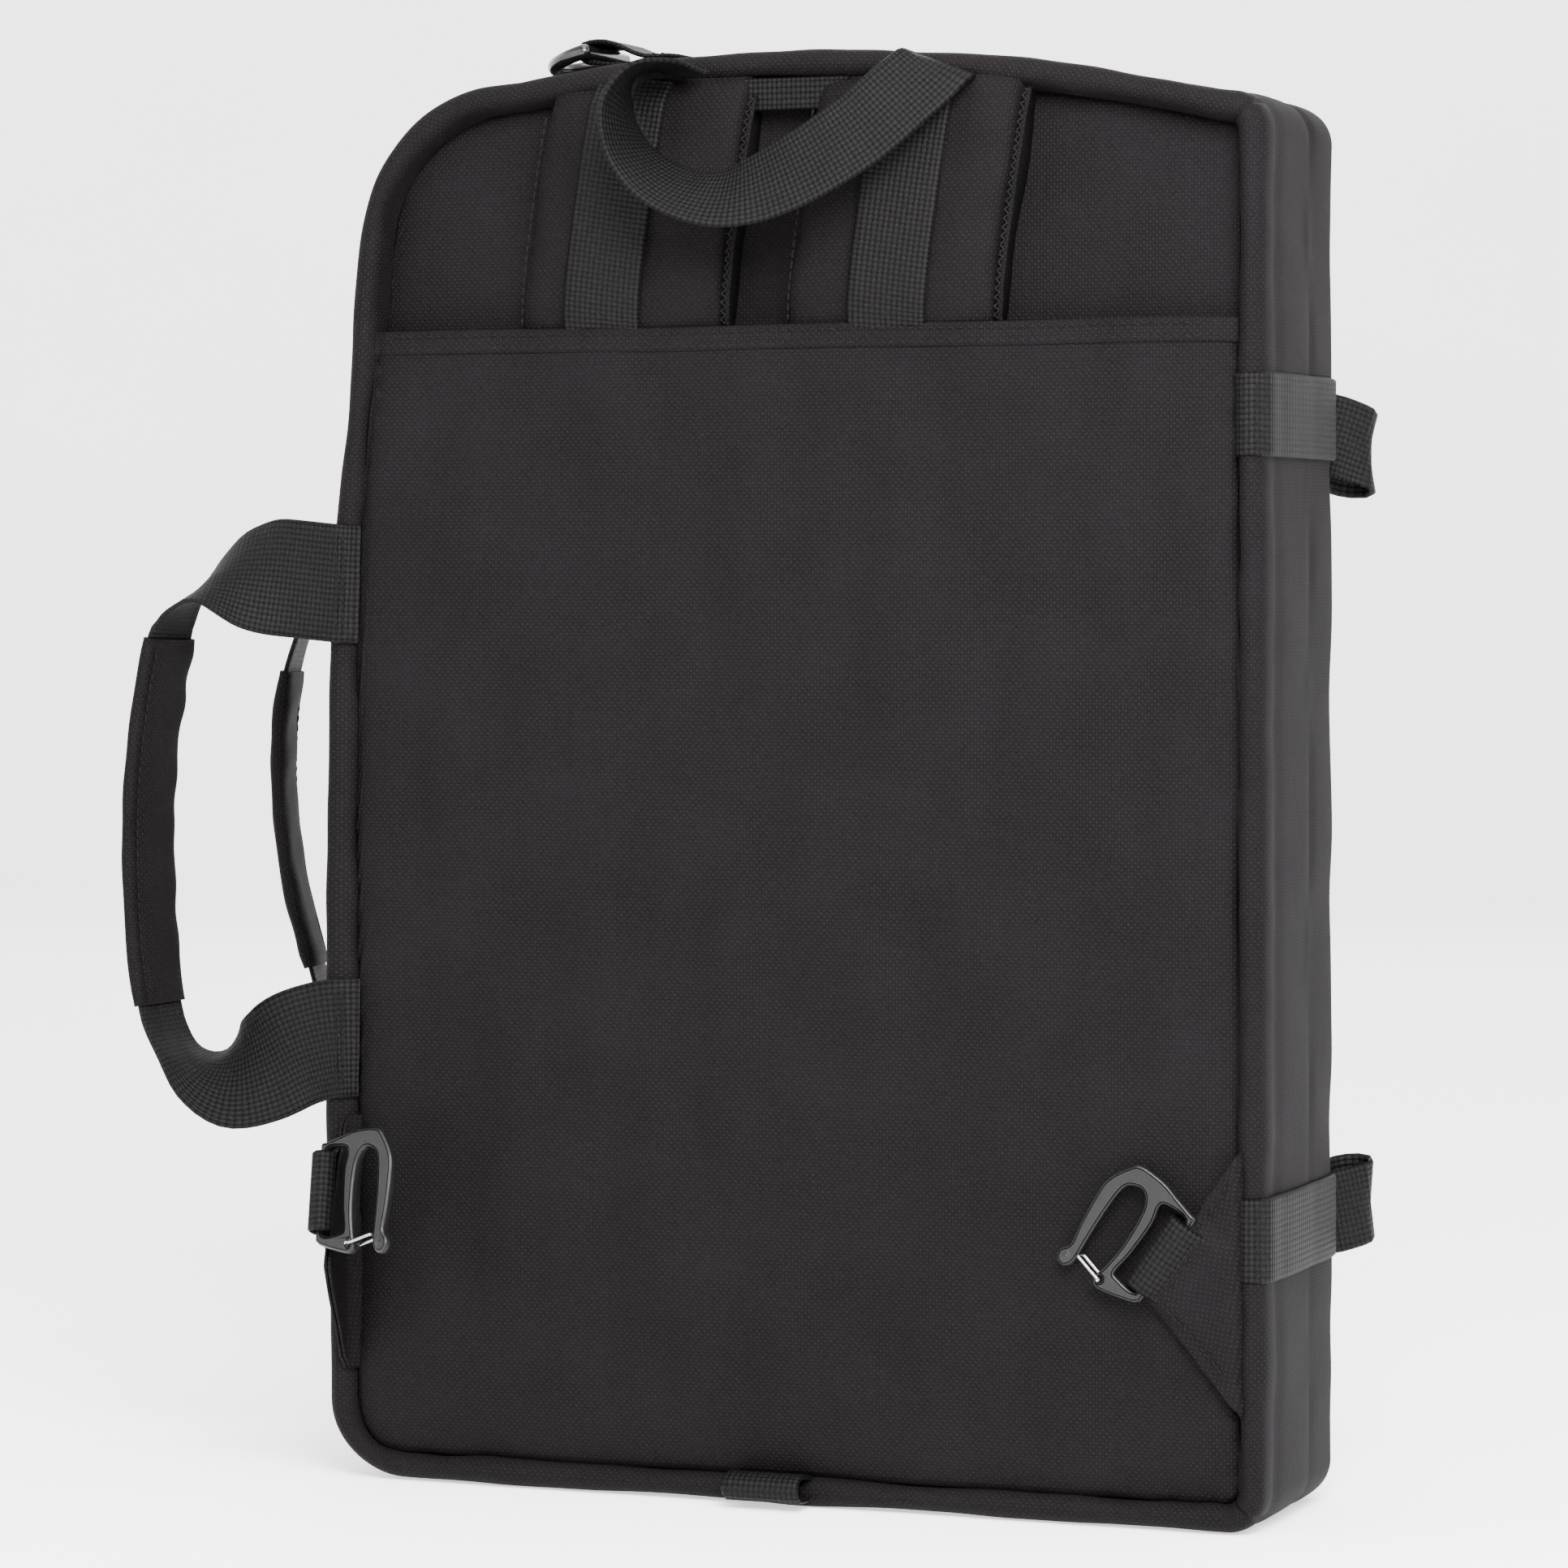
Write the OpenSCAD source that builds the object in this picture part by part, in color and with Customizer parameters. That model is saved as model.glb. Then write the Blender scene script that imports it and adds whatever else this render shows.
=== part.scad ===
// Convertible portfolio case: a soft case with a book-style zipped cover,
// two side handles, stowed backpack straps and hooks for their lower ends.
// Origin: middle of the base on the floor. +X right as seen from the worn
// side, -Y towards the worn side, +Z up.

/* [Case] */
// Width over the side gussets
case_w = 304; // [290:1:320]
// Height at the top of the arched crown
case_h = 441; // [420:1:470]
// How far the top edge falls from its middle to its corners
crown_drop = 19.5; // [10:0.5:24]
// Face of the edge roll on the worn side
back_y = -39; // [-42:0.5:-38]
// Face of the edge roll on the front side
front_y = 38.5; // [38:0.5:42]
// Corner radius at the top on the handle side
round_top_left = 52; // [30:1:60]
// Corner radius at the bottom on the handle side
round_bottom_left = 24; // [14:1:40]
// Corner radius of both corners on the gusset side
round_right = 12; // [10:0.5:16]
// Height above which the handle-side edge leans in
lean_z = 275; // [265:1:290]
// How far that edge leans, in degrees
side_lean = 4.7; // [1:0.1:6]

/* [Cloth and padding] */
// Thickness of the padded gusset wall
wall_t = 3; // [2:0.5:4]
// Width of the rolled edge around each face
roll_w = 8; // [6:0.5:9]
// Thickness of the shell cloth
cloth_t = 1.2; // [0.8:0.1:1.6]
// Thickness of the foam in each face
foam_t = 4; // [3:0.5:5]
// Thickness of the stiffening board
board_t = 1.5; // [1:0.5:2]
// Thickness of the lining cloth
lining_t = 0.6; // [0.4:0.1:0.7]

/* [Webbing] */
// Width of the narrow webbing
web_w = 25; // [20:1:30]
// Width of the handle webbing
handle_web_w = 37; // [30:1:38]
// Thickness of all webbing
web_t = 1.4; // [1.2:0.1:1.6]

/* [Front cover] */
// Running gap between the cover and the case
cover_gap = 0.4; // [0.3:0.1:0.6]
// X of the fold line that the cover turns on
fold_x = 147; // [146.5:0.5:147.5]
// X where the zipped wall ends and the side gusset begins
split_x = 140; // [138:1:140]
// Depth that the front pocket stands out
pocket_depth = 13; // [10:0.5:16]
// Lower edge of the front pocket
pocket_low = 48; // [40:1:60]
// Upper edge of the front pocket
pocket_high = 367; // [340:1:380]

/* [Straps] */
// Upper edge of the stow pocket's hem
hem_z = 357; // [340:1:365]
// Width of each shoulder pad
pad_w = 70; // [60:1:72]
// Middle of the left pad at the hem
pad_left_x = -54; // [-56:1:-50]
// Middle of the right pad at the hem
pad_right_x = 34; // [32:1:38]

/* [Handles] */
// Middle height of both handles
handle_z = 208; // [204:1:212]
// Height between the two webbing ends of a handle, middle to middle
handle_pitch = 142; // [138:1:146]
// Reach of the back handle from its fold
back_reach = 60; // [56:1:66]
// Reach of the front handle from its fold
front_reach = 47; // [44:1:52]

/* [Hooks] */
// Thickness of the hook plate
hook_t = 3.4; // [2.8:0.1:3.8]
// Radius of the hook bar that the webbing goes round
hook_bar_r = 2; // [1.8:0.1:2.2]
// How far the left tab stands out at rest, in degrees
tab_raise = 75; // [60:1:80]

/* [Hidden] */
$fn = 48;
half_w = case_w / 2;
seam_clear = 0.3;
fit_clear = 0.08;

// worn-side layers, counted inwards from the recessed back cloth
panel_y = back_y + 9;
foam_y = panel_y + cloth_t;
board_y = foam_y + foam_t;
lining_y = board_y + board_t;
inner_y = lining_y + lining_t;
// front-cover layers, counted inwards from the front cloth
cover_face_y = front_y - 0.9;
cover_foam_y = cover_face_y - cloth_t - foam_t;
cover_lining_y = cover_foam_y - lining_t;
roll_front_y = front_y - 5.5;

// main zip, in a slot between the two zipped walls
zip_y = 14.5;
coil_w = 1.6;
coil_gap = 2;
back_wall_end = 10;
front_wall_start = 19.4;
tape_t = 0.7;
slider_reach = 4.2;

// handle folds
handle_fold_x = -half_w - 1;
back_fold_y = back_y - web_t / 2 - 0.2;
front_fold_y = front_y + web_t / 2 + 0.2;
front_handle_turn = 15;

// hook tabs: each folds on the side seam, and its bar sits on the tab's slope
tab_seam_x = 145.5;
tab_y = back_y - 1.7;
tab_t = 1.6;
bar_in = 21.9;
bar_off = 2.6;
bar_z = 80.6;
bar_tilt = 34.7;
left_bar_z = 91;
left_bar_tilt = 18;
left_hook_turn = 60;
pivot_x = 13;
pivot_z = -17;
slot_half = 13.6;

// grab loop fold
grab_y = back_y - 3;
grab_z = 431;

// top ring
ring_x = -70;
ring_y = -12;
ring_z = 443.5;
ring_rod = 2.3;
ring_r = 15.6;
ring_droop = 15;

cloth = [0.17, 0.15, 0.16];
webbing = [0.2, 0.21, 0.2];
lining_grey = [0.35, 0.35, 0.37];
foam_grey = [0.55, 0.55, 0.55];
plastic = [0.1, 0.1, 0.1];
steel = [0.75, 0.75, 0.74];

// ---- shared shapes -------------------------------------------------------

// Extrudes an outline drawn in X and Z between two values of Y
module between_y(y0, y1) {
    translate([0, y1, 0]) rotate([90, 0, 0]) linear_extrude(y1 - y0) children();
}

// Extrudes an outline drawn in Y and Z between two values of X
module between_x(x0, x1) {
    translate([x0, 0, 0]) rotate([90, 0, 90]) linear_extrude(x1 - x0) children();
}

// Extrudes an outline drawn in X and Y between two values of Z
module between_z(z0, z1) {
    translate([0, 0, z0]) linear_extrude(z1 - z0) children();
}

function crown_z(x) = case_h - crown_drop * pow(x / half_w, 2);

function arc(x, z, r, from, to, steps) =
    [for (i = [0:steps]) let (a = from + (to - from) * i / steps)
        [x + r * cos(a), z + r * sin(a)]];

// Middle of the top corner on the handle side, where its arc meets the leaning edge
top_corner_z = crown_z(-half_w + 1.2 * round_top_left) - round_top_left;
top_left_x = -half_w + round_top_left * cos(side_lean)
    + (top_corner_z + round_top_left * sin(side_lean) - lean_z) * tan(side_lean);

// Outline of the case seen from the worn side, moved in by d
function case_points(d) =
    let (xr = half_w - round_right, xt = top_left_x, xb = -half_w + round_bottom_left)
    concat(
        arc(xr, round_right, round_right - d, -90, 0, 6),
        arc(xr, crown_z(xr) - round_right, round_right - d, 0, 84, 6),
        [for (i = [0:12]) let (x = xr + (xt - xr) * i / 12) [x, crown_z(x) - d]],
        arc(xt, crown_z(xt) - round_top_left, round_top_left - d, 98, 180 - side_lean, 12),
        [[-half_w + d, lean_z + d * tan(side_lean / 2)]],
        arc(xb, round_bottom_left, round_bottom_left - d, 180, 270, 8)
    );

module case_area(d) {
    polygon(case_points(d));
}

// Band of the outline between two depths
module case_ring(d0, d1) {
    difference() {
        case_area(d0);
        case_area(d1);
    }
}

module x_between(x0, x1) {
    translate([x0, -10]) square([x1 - x0, case_h + 20]);
}

module zipped_ring(d0, d1, x_end) {
    intersection() {
        case_ring(d0, d1);
        x_between(-half_w - 10, x_end);
    }
}

module side_ring(d0, d1, x_start) {
    intersection() {
        case_ring(d0, d1);
        x_between(x_start, half_w + 10);
    }
}

// Box from its lowest to its highest corner
module block(low, high) {
    translate(low) cube(high - low);
}

// ---- worn side and case --------------------------------------------------

module back_panel() {
    color(cloth) between_y(panel_y, foam_y) case_area(roll_w);
}

module back_foam() {
    color(foam_grey) between_y(foam_y, board_y) case_area(roll_w);
}

module back_board() {
    color(foam_grey) between_y(board_y, lining_y) case_area(roll_w + 1);
}

module back_lining() {
    color(lining_grey) between_y(lining_y, inner_y) case_area(wall_t);
}

module gusset_lining() {
    color(lining_grey) {
        between_y(inner_y, 5.6) case_ring(wall_t, wall_t + lining_t);
        between_y(5.6, cover_lining_y - 1) side_ring(wall_t, wall_t + lining_t, split_x);
    }
}

module zip_gusset_back() {
    color(cloth) between_y(panel_y, back_wall_end) zipped_ring(0, wall_t, split_x);
}

module base_gusset() {
    color(cloth) {
        between_y(panel_y, roll_front_y) side_ring(0, wall_t, split_x);
        between_y(roll_front_y, front_y) side_ring(0, roll_w, fold_x + 0.5);
    }
}

module back_edge_roll() {
    color(cloth) between_y(back_y, panel_y) case_ring(0, roll_w);
}

module stow_pocket_panel() {
    color(cloth) between_y(back_y - 0.6, back_y + 0.6) intersection() {
        case_area(roll_w);
        translate([-half_w, 0]) square([case_w, hem_z - 7]);
    }
}

module stow_pocket_hem() {
    color(cloth) between_y(back_y - 1.6, back_y + 0.6) intersection() {
        case_area(roll_w);
        translate([-half_w, hem_z - 7]) square([case_w, 7]);
    }
}

// ---- stowed backpack straps ----------------------------------------------

pad_low = 72;
pad_high = 430;
anchor_low = pad_high - 7;
anchor_t = 1.8;
pad_lean = 11 / 72;
pocket_face = back_y + 0.8;
pad_stowed_y = pocket_face + web_t + 0.1;
pad_proud_y = back_y - 4.6;

// Upright strip that leans to the right above the hem
module leaning_strip(middle, width, low, high) {
    x0 = middle - width / 2;
    lean = pad_lean * (high - hem_z);
    polygon([
        [x0, low], [x0 + width, low], [x0 + width, hem_z],
        [x0 + width + lean, high], [x0 + lean, high], [x0, hem_z]
    ]);
}

module strap_pad(middle) {
    intersection() {
        between_y(-80, panel_y - 0.2) intersection() {
            leaning_strip(middle, pad_w, pad_low, pad_high);
            case_area(roll_w + seam_clear);
        }
        between_x(-half_w, half_w) polygon([
            [panel_y - 0.2, pad_low], [panel_y - 0.2, anchor_low - 0.4],
            [panel_y - anchor_t - 0.5, anchor_low - 0.4], [panel_y - anchor_t - 0.5, pad_high],
            [pad_proud_y + 4, pad_high], [pad_proud_y, pad_high - 12],
            [pad_proud_y, hem_z + 10], [pad_stowed_y, hem_z - 1],
            [pad_stowed_y, pad_low]
        ]);
    }
}

// Webbing sewn down the middle of a pad
module strap_webbing(middle) {
    intersection() {
        between_y(-80, 0) leaning_strip(middle, web_w, pad_low, pad_high);
        between_x(-half_w, half_w) polygon([
            [pad_proud_y + 4, pad_high], [pad_proud_y, pad_high - 12],
            [pad_proud_y, hem_z + 10], [pad_stowed_y, hem_z - 1],
            [pad_stowed_y, pad_low], [pad_stowed_y - web_t, pad_low],
            [pad_stowed_y - web_t, hem_z - 1], [pad_proud_y - web_t, hem_z + 10],
            [pad_proud_y - web_t, pad_high - 12], [pad_proud_y + 4 - web_t, pad_high]
        ]);
    }
}

module strap_pad_left() {
    color(cloth) strap_pad(pad_left_x);
}

module strap_pad_right() {
    color(cloth) strap_pad(pad_right_x);
}

module strap_webbing_left() {
    color(webbing) strap_webbing(pad_left_x - 5);
}

module strap_webbing_right() {
    color(webbing) strap_webbing(pad_right_x);
}

// Cross webbing behind the tops of both pads
module strap_anchor_band() {
    color(webbing) between_y(panel_y - 0.2 - anchor_t, panel_y - 0.2) intersection() {
        translate([pad_left_x - 28, anchor_low]) square([144, 9]);
        case_area(roll_w + seam_clear);
    }
}

// Flat two-slot buckle at the lower end of each pad
module ladder_lock() {
    difference() {
        block([-17, -2, -15], [17, 2, 15]);
        block([-13.2, -3, 3], [13.2, 3, 10]);
        block([-13.2, -3, -10], [13.2, 3, -3]);
    }
}

module strap_adjusters() {
    color(plastic) for (x = [pad_left_x, pad_right_x])
        translate([x, panel_y - 4.2, pad_low - 15]) ladder_lock();
}

// Webbing tail that folds back up inside the pocket, with a sewn end loop
module strap_tails() {
    color(webbing) for (x = [pad_left_x, pad_right_x])
        between_y(panel_y - 2, panel_y - 0.6)
            translate([x - web_w / 2, 12]) square([web_w, pad_low - 12.5]);
}

// ---- webbing on the case -------------------------------------------------

module top_ring_tab() {
    top = crown_z(ring_x + 16);
    color(webbing) difference() {
        union() {
            translate([ring_x, ring_y + web_w / 2, ring_z]) rotate([90, 0, 0])
                cylinder(r = ring_rod + fit_clear + web_t, h = web_w);
            between_y(ring_y - web_w / 2, ring_y + web_w / 2) polygon([
                [ring_x, ring_z + 3.2], [ring_x, ring_z - 3.2],
                [ring_x + 7, top + 2], [ring_x + 12, top - 0.4],
                [ring_x + 32, top + 1.6], [ring_x + 32, top + 3.2],
                [ring_x + 12, top + 4]
            ]);
        }
        translate([ring_x, ring_y + web_w, ring_z]) rotate([90, 0, 0])
            cylinder(r = ring_rod + fit_clear, h = 2 * web_w);
        between_y(-half_w, half_w) case_area(0);
    }
}

band_heights = [316, 74];

module side_bands() {
    color(webbing) for (z = band_heights)
        block([half_w, back_y + 3, z], [half_w + web_t, roll_front_y, z + web_w]);
}

module bottom_pull_tab() {
    color(webbing) translate([-15, 0, 0]) between_x(0, web_w) difference() {
        polygon([[back_y, 2], [back_y - 8, 1.5], [back_y - 12, 5],
                 [back_y - 11, 9.5], [back_y - 6, 11], [back_y - 1, 9.2],
                 [back_y - 1, 7.8], [back_y, 7.8]]);
        polygon([[back_y - 1.4, 3.6], [back_y - 7.4, 3.2], [back_y - 10.4, 5.6],
                 [back_y - 9.8, 8.2], [back_y - 6, 9.4], [back_y - 1.4, 7.6]]);
    }
}

// Stitched webbing ends of a handle, lying on the edge roll
module handle_anchors(fold_y) {
    for (side = [-1, 1])
        let (z = handle_z + side * handle_pitch / 2)
            block([handle_fold_x + web_t / 2 + seam_clear, fold_y - web_t / 2,
                   z - handle_web_w / 2],
                  [-half_w + roll_w - seam_clear, fold_y + web_t / 2,
                   z + handle_web_w / 2]);
}

module back_handle_anchors() {
    color(webbing) handle_anchors(back_fold_y);
}

module front_handle_anchors() {
    color(webbing) handle_anchors(front_fold_y);
}

// ---- main zip ------------------------------------------------------------

tape_joint = 0.2;

// Ring of zip tape in two lengths that butt where the case's edge starts to lean
module tape_ring(x_end) {
    difference() {
        zipped_ring(wall_t, wall_t + tape_t, x_end);
        translate([-half_w - 1, lean_z - tape_joint / 2]) square([12, tape_joint]);
    }
}

module zipper_tape_back() {
    color(plastic) between_y(5.8, zip_y - coil_gap / 2 - 0.1) tape_ring(split_x);
}

module zipper_coil_back() {
    color(plastic) between_y(zip_y - coil_gap / 2 - coil_w, zip_y - coil_gap / 2)
        zipped_ring(wall_t - 1.4, wall_t, split_x);
}

module zipper_tape_front() {
    color(plastic) between_y(zip_y + coil_gap / 2 + 0.1, 25) tape_ring(split_x - cover_gap);
}

module zipper_coil_front() {
    color(plastic) between_y(zip_y + coil_gap / 2, zip_y + coil_gap / 2 + coil_w)
        zipped_ring(wall_t - 1.4, wall_t, split_x - cover_gap);
}

slider_z = [222, 208];
slider_half = 6;
lug_x = -half_w - 1.6;

// Slider over the straight handle-side run of the main zip
module main_slider(z) {
    translate([-half_w, zip_y, z]) {
        block([-0.2, -slider_reach, -slider_half], [1, slider_reach, slider_half]);
        block([wall_t + 1.2, -slider_reach, -slider_half],
              [wall_t + 2.2, slider_reach, slider_half]);
        block([0.9, -0.5, -slider_half], [wall_t + 1.3, 0.5, slider_half]);
        difference() {
            block([-3, -1.2, -3.5], [-0.1, 1.2, 3.5]);
            translate([-1.6, 2, 0]) rotate([90, 0, 0]) cylinder(r = 0.75, h = 4);
        }
    }
}

// Pull tab that hangs from a slider's lug; its pin lies along Y
module pull_tab(length, pin_gap) {
    rotate([90, 0, 0]) translate([0, 0, -pin_gap - 0.6])
        cylinder(r = 0.7, h = 2 * pin_gap + 1.2);
    for (side = [-1, 1])
        block([-0.7, side * (pin_gap + 0.3) - 0.5, -6.5],
              [0.7, side * (pin_gap + 0.3) + 0.5, 0]);
    difference() {
        block([-0.7, -3.4, -length], [0.7, 3.4, -6]);
        block([-2, -1.6, -length + 2], [2, 1.6, -length + 7]);
    }
}

upper_pull_tilt = 16;

module slider_upper() {
    color(plastic) main_slider(slider_z[0]);
}

module puller_upper() {
    color(plastic) translate([lug_x, zip_y, slider_z[0]])
        rotate([0, upper_pull_tilt, 0]) pull_tab(30, 1.9);
}

module slider_lower() {
    color(plastic) main_slider(slider_z[1]);
}

module puller_lower() {
    color(plastic) translate([lug_x, zip_y, slider_z[1]]) pull_tab(30, 1.9);
}

// ---- inside --------------------------------------------------------------

sleeve_y = -3;
sleeve_t = 4;

module sleeve_panel() {
    color(lining_grey) between_y(sleeve_y, sleeve_y + sleeve_t) intersection() {
        case_area(wall_t + lining_t);
        translate([-122, 0]) square([case_w, 396]);
    }
}

module sleeve_strap() {
    color(webbing) between_z(handle_z - 14, handle_z + 14) polygon([
        [-132, inner_y], [-118, inner_y], [-118, inner_y + 1.2],
        [-128, inner_y + 1.2], [-128, sleeve_y + sleeve_t + 0.4],
        [-100, sleeve_y + sleeve_t + 0.2], [-100, sleeve_y + sleeve_t + 1.6],
        [-129.4, sleeve_y + sleeve_t + 1.6], [-129.4, inner_y + 1.2]
    ]);
}

// ---- front cover ---------------------------------------------------------

cover_end = split_x - cover_gap;

module front_panel() {
    color(cloth) between_y(cover_face_y - cloth_t, cover_face_y) {
        intersection() {
            case_area(roll_w);
            x_between(-half_w, cover_end);
        }
        translate([cover_end - 1, roll_w + 1])
            square([fold_x - 0.5 - cover_end + 1, crown_z(fold_x) - 2 * roll_w]);
    }
}

module front_foam() {
    color(foam_grey) between_y(cover_foam_y, cover_face_y - cloth_t) intersection() {
        case_area(roll_w);
        x_between(-half_w, cover_end);
    }
}

module front_lining() {
    color(lining_grey) between_y(cover_lining_y, cover_foam_y) intersection() {
        case_area(wall_t);
        x_between(-half_w, cover_end);
    }
}

module zip_gusset_front() {
    color(cloth) between_y(front_wall_start, roll_front_y)
        zipped_ring(0, wall_t, cover_end);
}

module front_edge_roll() {
    color(cloth) between_y(roll_front_y, front_y) zipped_ring(0, roll_w, cover_end);
}

pocket_left = -134;
pocket_right = 139;
pocket_wall = 1.4;
pocket_face_y = cover_face_y + pocket_depth;
slit_x = -118;
slit_half = 6;
slit_low = pocket_low + 18;
slit_high = pocket_high - 18;

module front_pocket() {
    color(cloth) difference() {
        block([pocket_left, cover_face_y, pocket_low],
              [pocket_right, pocket_face_y, pocket_high]);
        block([pocket_left + pocket_wall, cover_face_y - 1, pocket_low + pocket_wall],
              [pocket_right - pocket_wall, pocket_face_y - pocket_wall,
               pocket_high - pocket_wall]);
        block([slit_x - slit_half, cover_face_y, slit_low],
              [slit_x + slit_half, pocket_face_y + 1, slit_high]);
    }
}

module pocket_zip_tapes() {
    color(plastic) for (side = [-1, 1])
        let (near = slit_x + side * 0.6, far = slit_x + side * (slit_half + 3))
            block([min(near, far), pocket_face_y - pocket_wall - 0.6, slit_low - 4],
                  [max(near, far), pocket_face_y - pocket_wall, slit_high + 4]);
}

module pocket_zip_coil() {
    color(plastic) block(
        [slit_x - 1.5, pocket_face_y - pocket_wall, slit_low - 0.01],
        [slit_x + 1.5, pocket_face_y - 0.2, slit_high + 0.01]);
}

pocket_slider_z = slit_high - 12;
pocket_lug_y = pocket_face_y + 2.4;

module pocket_slider() {
    color(plastic) translate([slit_x, pocket_face_y, pocket_slider_z]) {
        block([-4, 0.2, -5], [4, 1.2, 5]);
        for (side = [-1, 1])
            block([side * 2.9 - 0.8, -0.9, -5], [side * 2.9 + 0.8, 0.3, 5]);
        difference() {
            block([-1.2, 1.1, -3], [1.2, 3.8, 3]);
            translate([-2, 2.4, 0]) rotate([0, 90, 0]) cylinder(r = 0.75, h = 4);
        }
    }
}

module pocket_puller() {
    color(plastic) translate([slit_x, pocket_lug_y, pocket_slider_z])
        rotate([0, 0, 90]) pull_tab(30, 1.9);
}

doc_pocket_y = 24;

module document_pocket() {
    color(lining_grey) {
        block([-118, doc_pocket_y, 32], [120, doc_pocket_y + 1, 260]);
        block([-118, doc_pocket_y + 1, 32], [120, cover_lining_y, 33.4]);
        for (x = [-118, 118.6])
            block([x, doc_pocket_y + 1, 33.4], [x + 1.4, cover_lining_y, 260]);
    }
}

// Webbing loop that stands off the front edge by the fold
module front_loops() {
    color(webbing) for (z = band_heights)
        between_z(z - 2, z - 2 + web_w) difference() {
            polygon([[139.4, 37.6], [139.4, 46], [146, 56.5], [151, 60], [156, 60],
                     [158.5, 56], [157, 52], [151, 46.5], [145.3, 43.5], [145.3, 37.6]]);
            polygon([[140.8, 39.2], [140.8, 45.5], [147, 55.4], [151.5, 58.5],
                     [155.2, 58.5], [157, 55.8], [156, 53.2], [150.2, 47.8],
                     [143.9, 44.6], [143.9, 39.2]]);
        }
}

// ---- top ring and grab loop ----------------------------------------------

module top_ring() {
    color(plastic) translate([ring_x, ring_y, ring_z]) rotate([0, -ring_droop, 0]) {
        translate([0, ring_r, 0]) rotate([90, 0, 0]) cylinder(r = ring_rod, h = 2 * ring_r);
        rotate([0, 0, 90]) rotate_extrude(angle = 180)
            translate([ring_r, 0]) circle(r = ring_rod);
        for (side = [-1, 1])
            translate([0, side * ring_r, 0]) sphere(r = ring_rod);
    }
}

// Hanging loop of webbing: a U in X and Z, cut from a sheet bent in Y and Z
module grab_loop() {
    color(webbing) {
        intersection() {
            between_y(-90, back_y) difference() {
                polygon([[-46, 431], [-53, 426], [-51, 409], [-38, 391], [-19, 383],
                         [0, 382.5], [36, 400], [61, 424], [56, 431]]);
                polygon([[-35, 433], [-41, 426], [-42, 418], [-38, 406], [-30, 399],
                         [-19, 397.5], [-3, 402], [15, 416], [32, 433]]);
            }
            between_x(-half_w, half_w) polygon([
                [grab_y, grab_z + 0.7], [grab_y - 0.5, grab_z - 0.7],
                [grab_y - 6, grab_z - 4.2], [-67, 382], [-69, 382],
                [grab_y - 7.5, grab_z - 2.9], [grab_y - 1.5, grab_z + 0.7]
            ]);
        }
        for (x = [[-48, -35], [36, 58]])
            between_x(x[0], x[1]) translate([grab_y, grab_z]) circle(r = web_t / 2);
    }
}

// ---- hooks ---------------------------------------------------------------

// Flat hook outline: x runs from the webbing bar to the mouth, y along the bar
module hook_outline() {
    difference() {
        union() {
            polygon([
                [0, -15.6], [1.2, -16.6], [7.7, -18.8], [12.8, -19.8], [14.8, -17.6],
                [13.9, -13], [13.1, -6], [13.2, 2], [14.2, 9], [16.5, 12.3], [19.5, 12.3],
                [22.2, 9.7], [22.8, 2], [22.6, -8], [22.2, -15.5], [25.4, -15.5],
                [27.2, -7], [28, 2], [27.8, 9], [24.4, 15.6], [21.3, 18.3],
                [13.3, 18.5], [1.2, 15.7], [0, 15.6]
            ]);
            translate([25, -17.8]) circle(r = 3.1);
        }
        polygon([
            [-3, -slot_half], [9, -slot_half], [10.6, -12], [9.2, -5], [8.9, 6],
            [10.2, 11.6], [9, slot_half], [-3, slot_half]
        ]);
    }
}

// Hook in its own frame: the bar on the z axis, the plate's thickness along y
module hook() {
    difference() {
        union() {
            between_y(-hook_t / 2, hook_t / 2) hook_outline();
            translate([0, 0, -15.6]) cylinder(r = hook_bar_r, h = 31.2);
        }
        translate([pivot_x, hook_t, pivot_z]) rotate([90, 0, 0])
            cylinder(r = 0.6, h = 2 * hook_t);
    }
}

// Bent wire gate: pin through the hook's foot, two arms and a cross wire
module gate() {
    wire = 0.55;
    arm_y = hook_t / 2 + 0.95;
    reach = 8.5;
    slope = 77.8;
    tip_x = pivot_x + reach * sin(slope);
    tip_z = pivot_z + reach * cos(slope);
    for (end = [[pivot_x, pivot_z], [tip_x, tip_z]])
        translate([end[0], arm_y + wire, end[1]]) rotate([90, 0, 0])
            cylinder(r = wire, h = 2 * (arm_y + wire));
    for (side = [-1, 1])
        translate([pivot_x, side * arm_y, pivot_z]) rotate([0, slope, 0])
            translate([0, 0, 0.1]) cylinder(r = wire - 0.1, h = reach - 0.2);
}

// Places children in a hook's frame beside its tab, both drawn for the right
module at_bar(height, tilt) {
    translate([-bar_in, -bar_off, height]) rotate([0, tilt, 0]) mirror([1, 0, 0])
        children();
}

// Frame of the right tab: origin on the seam fold, X towards the right
module right_tab_frame() {
    translate([tab_seam_x, tab_y, 0]) children();
}

module left_tab_frame() {
    translate([-tab_seam_x, tab_y, 0]) rotate([0, 0, -tab_raise]) mirror([1, 0, 0])
        children();
}

module tab() {
    between_z(37, 111) circle(r = tab_t / 2);
    between_y(-tab_t / 2, tab_t / 2) polygon([[0, 36], [0, 112], [-8.4, 93], [-24.2, 65.4]]);
}

// Webbing eye round the hook bar, with its doubled tail sewn on the tab
module hook_webbing() {
    difference() {
        union() {
            translate([0, 0, -12.5]) cylinder(r = hook_bar_r + fit_clear + web_t, h = 25);
            translate([0, 0, -12.5]) linear_extrude(25) polygon([
                [0, -3.4], [0, 3.4], [-5, bar_off - tab_t / 2 - 0.05],
                [-14, bar_off - tab_t / 2 - 0.05], [-14, bar_off - tab_t / 2 - 1.6],
                [-6, -1.4]
            ]);
        }
        translate([0, 0, -20]) cylinder(r = hook_bar_r + fit_clear, h = 40);
    }
}

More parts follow.
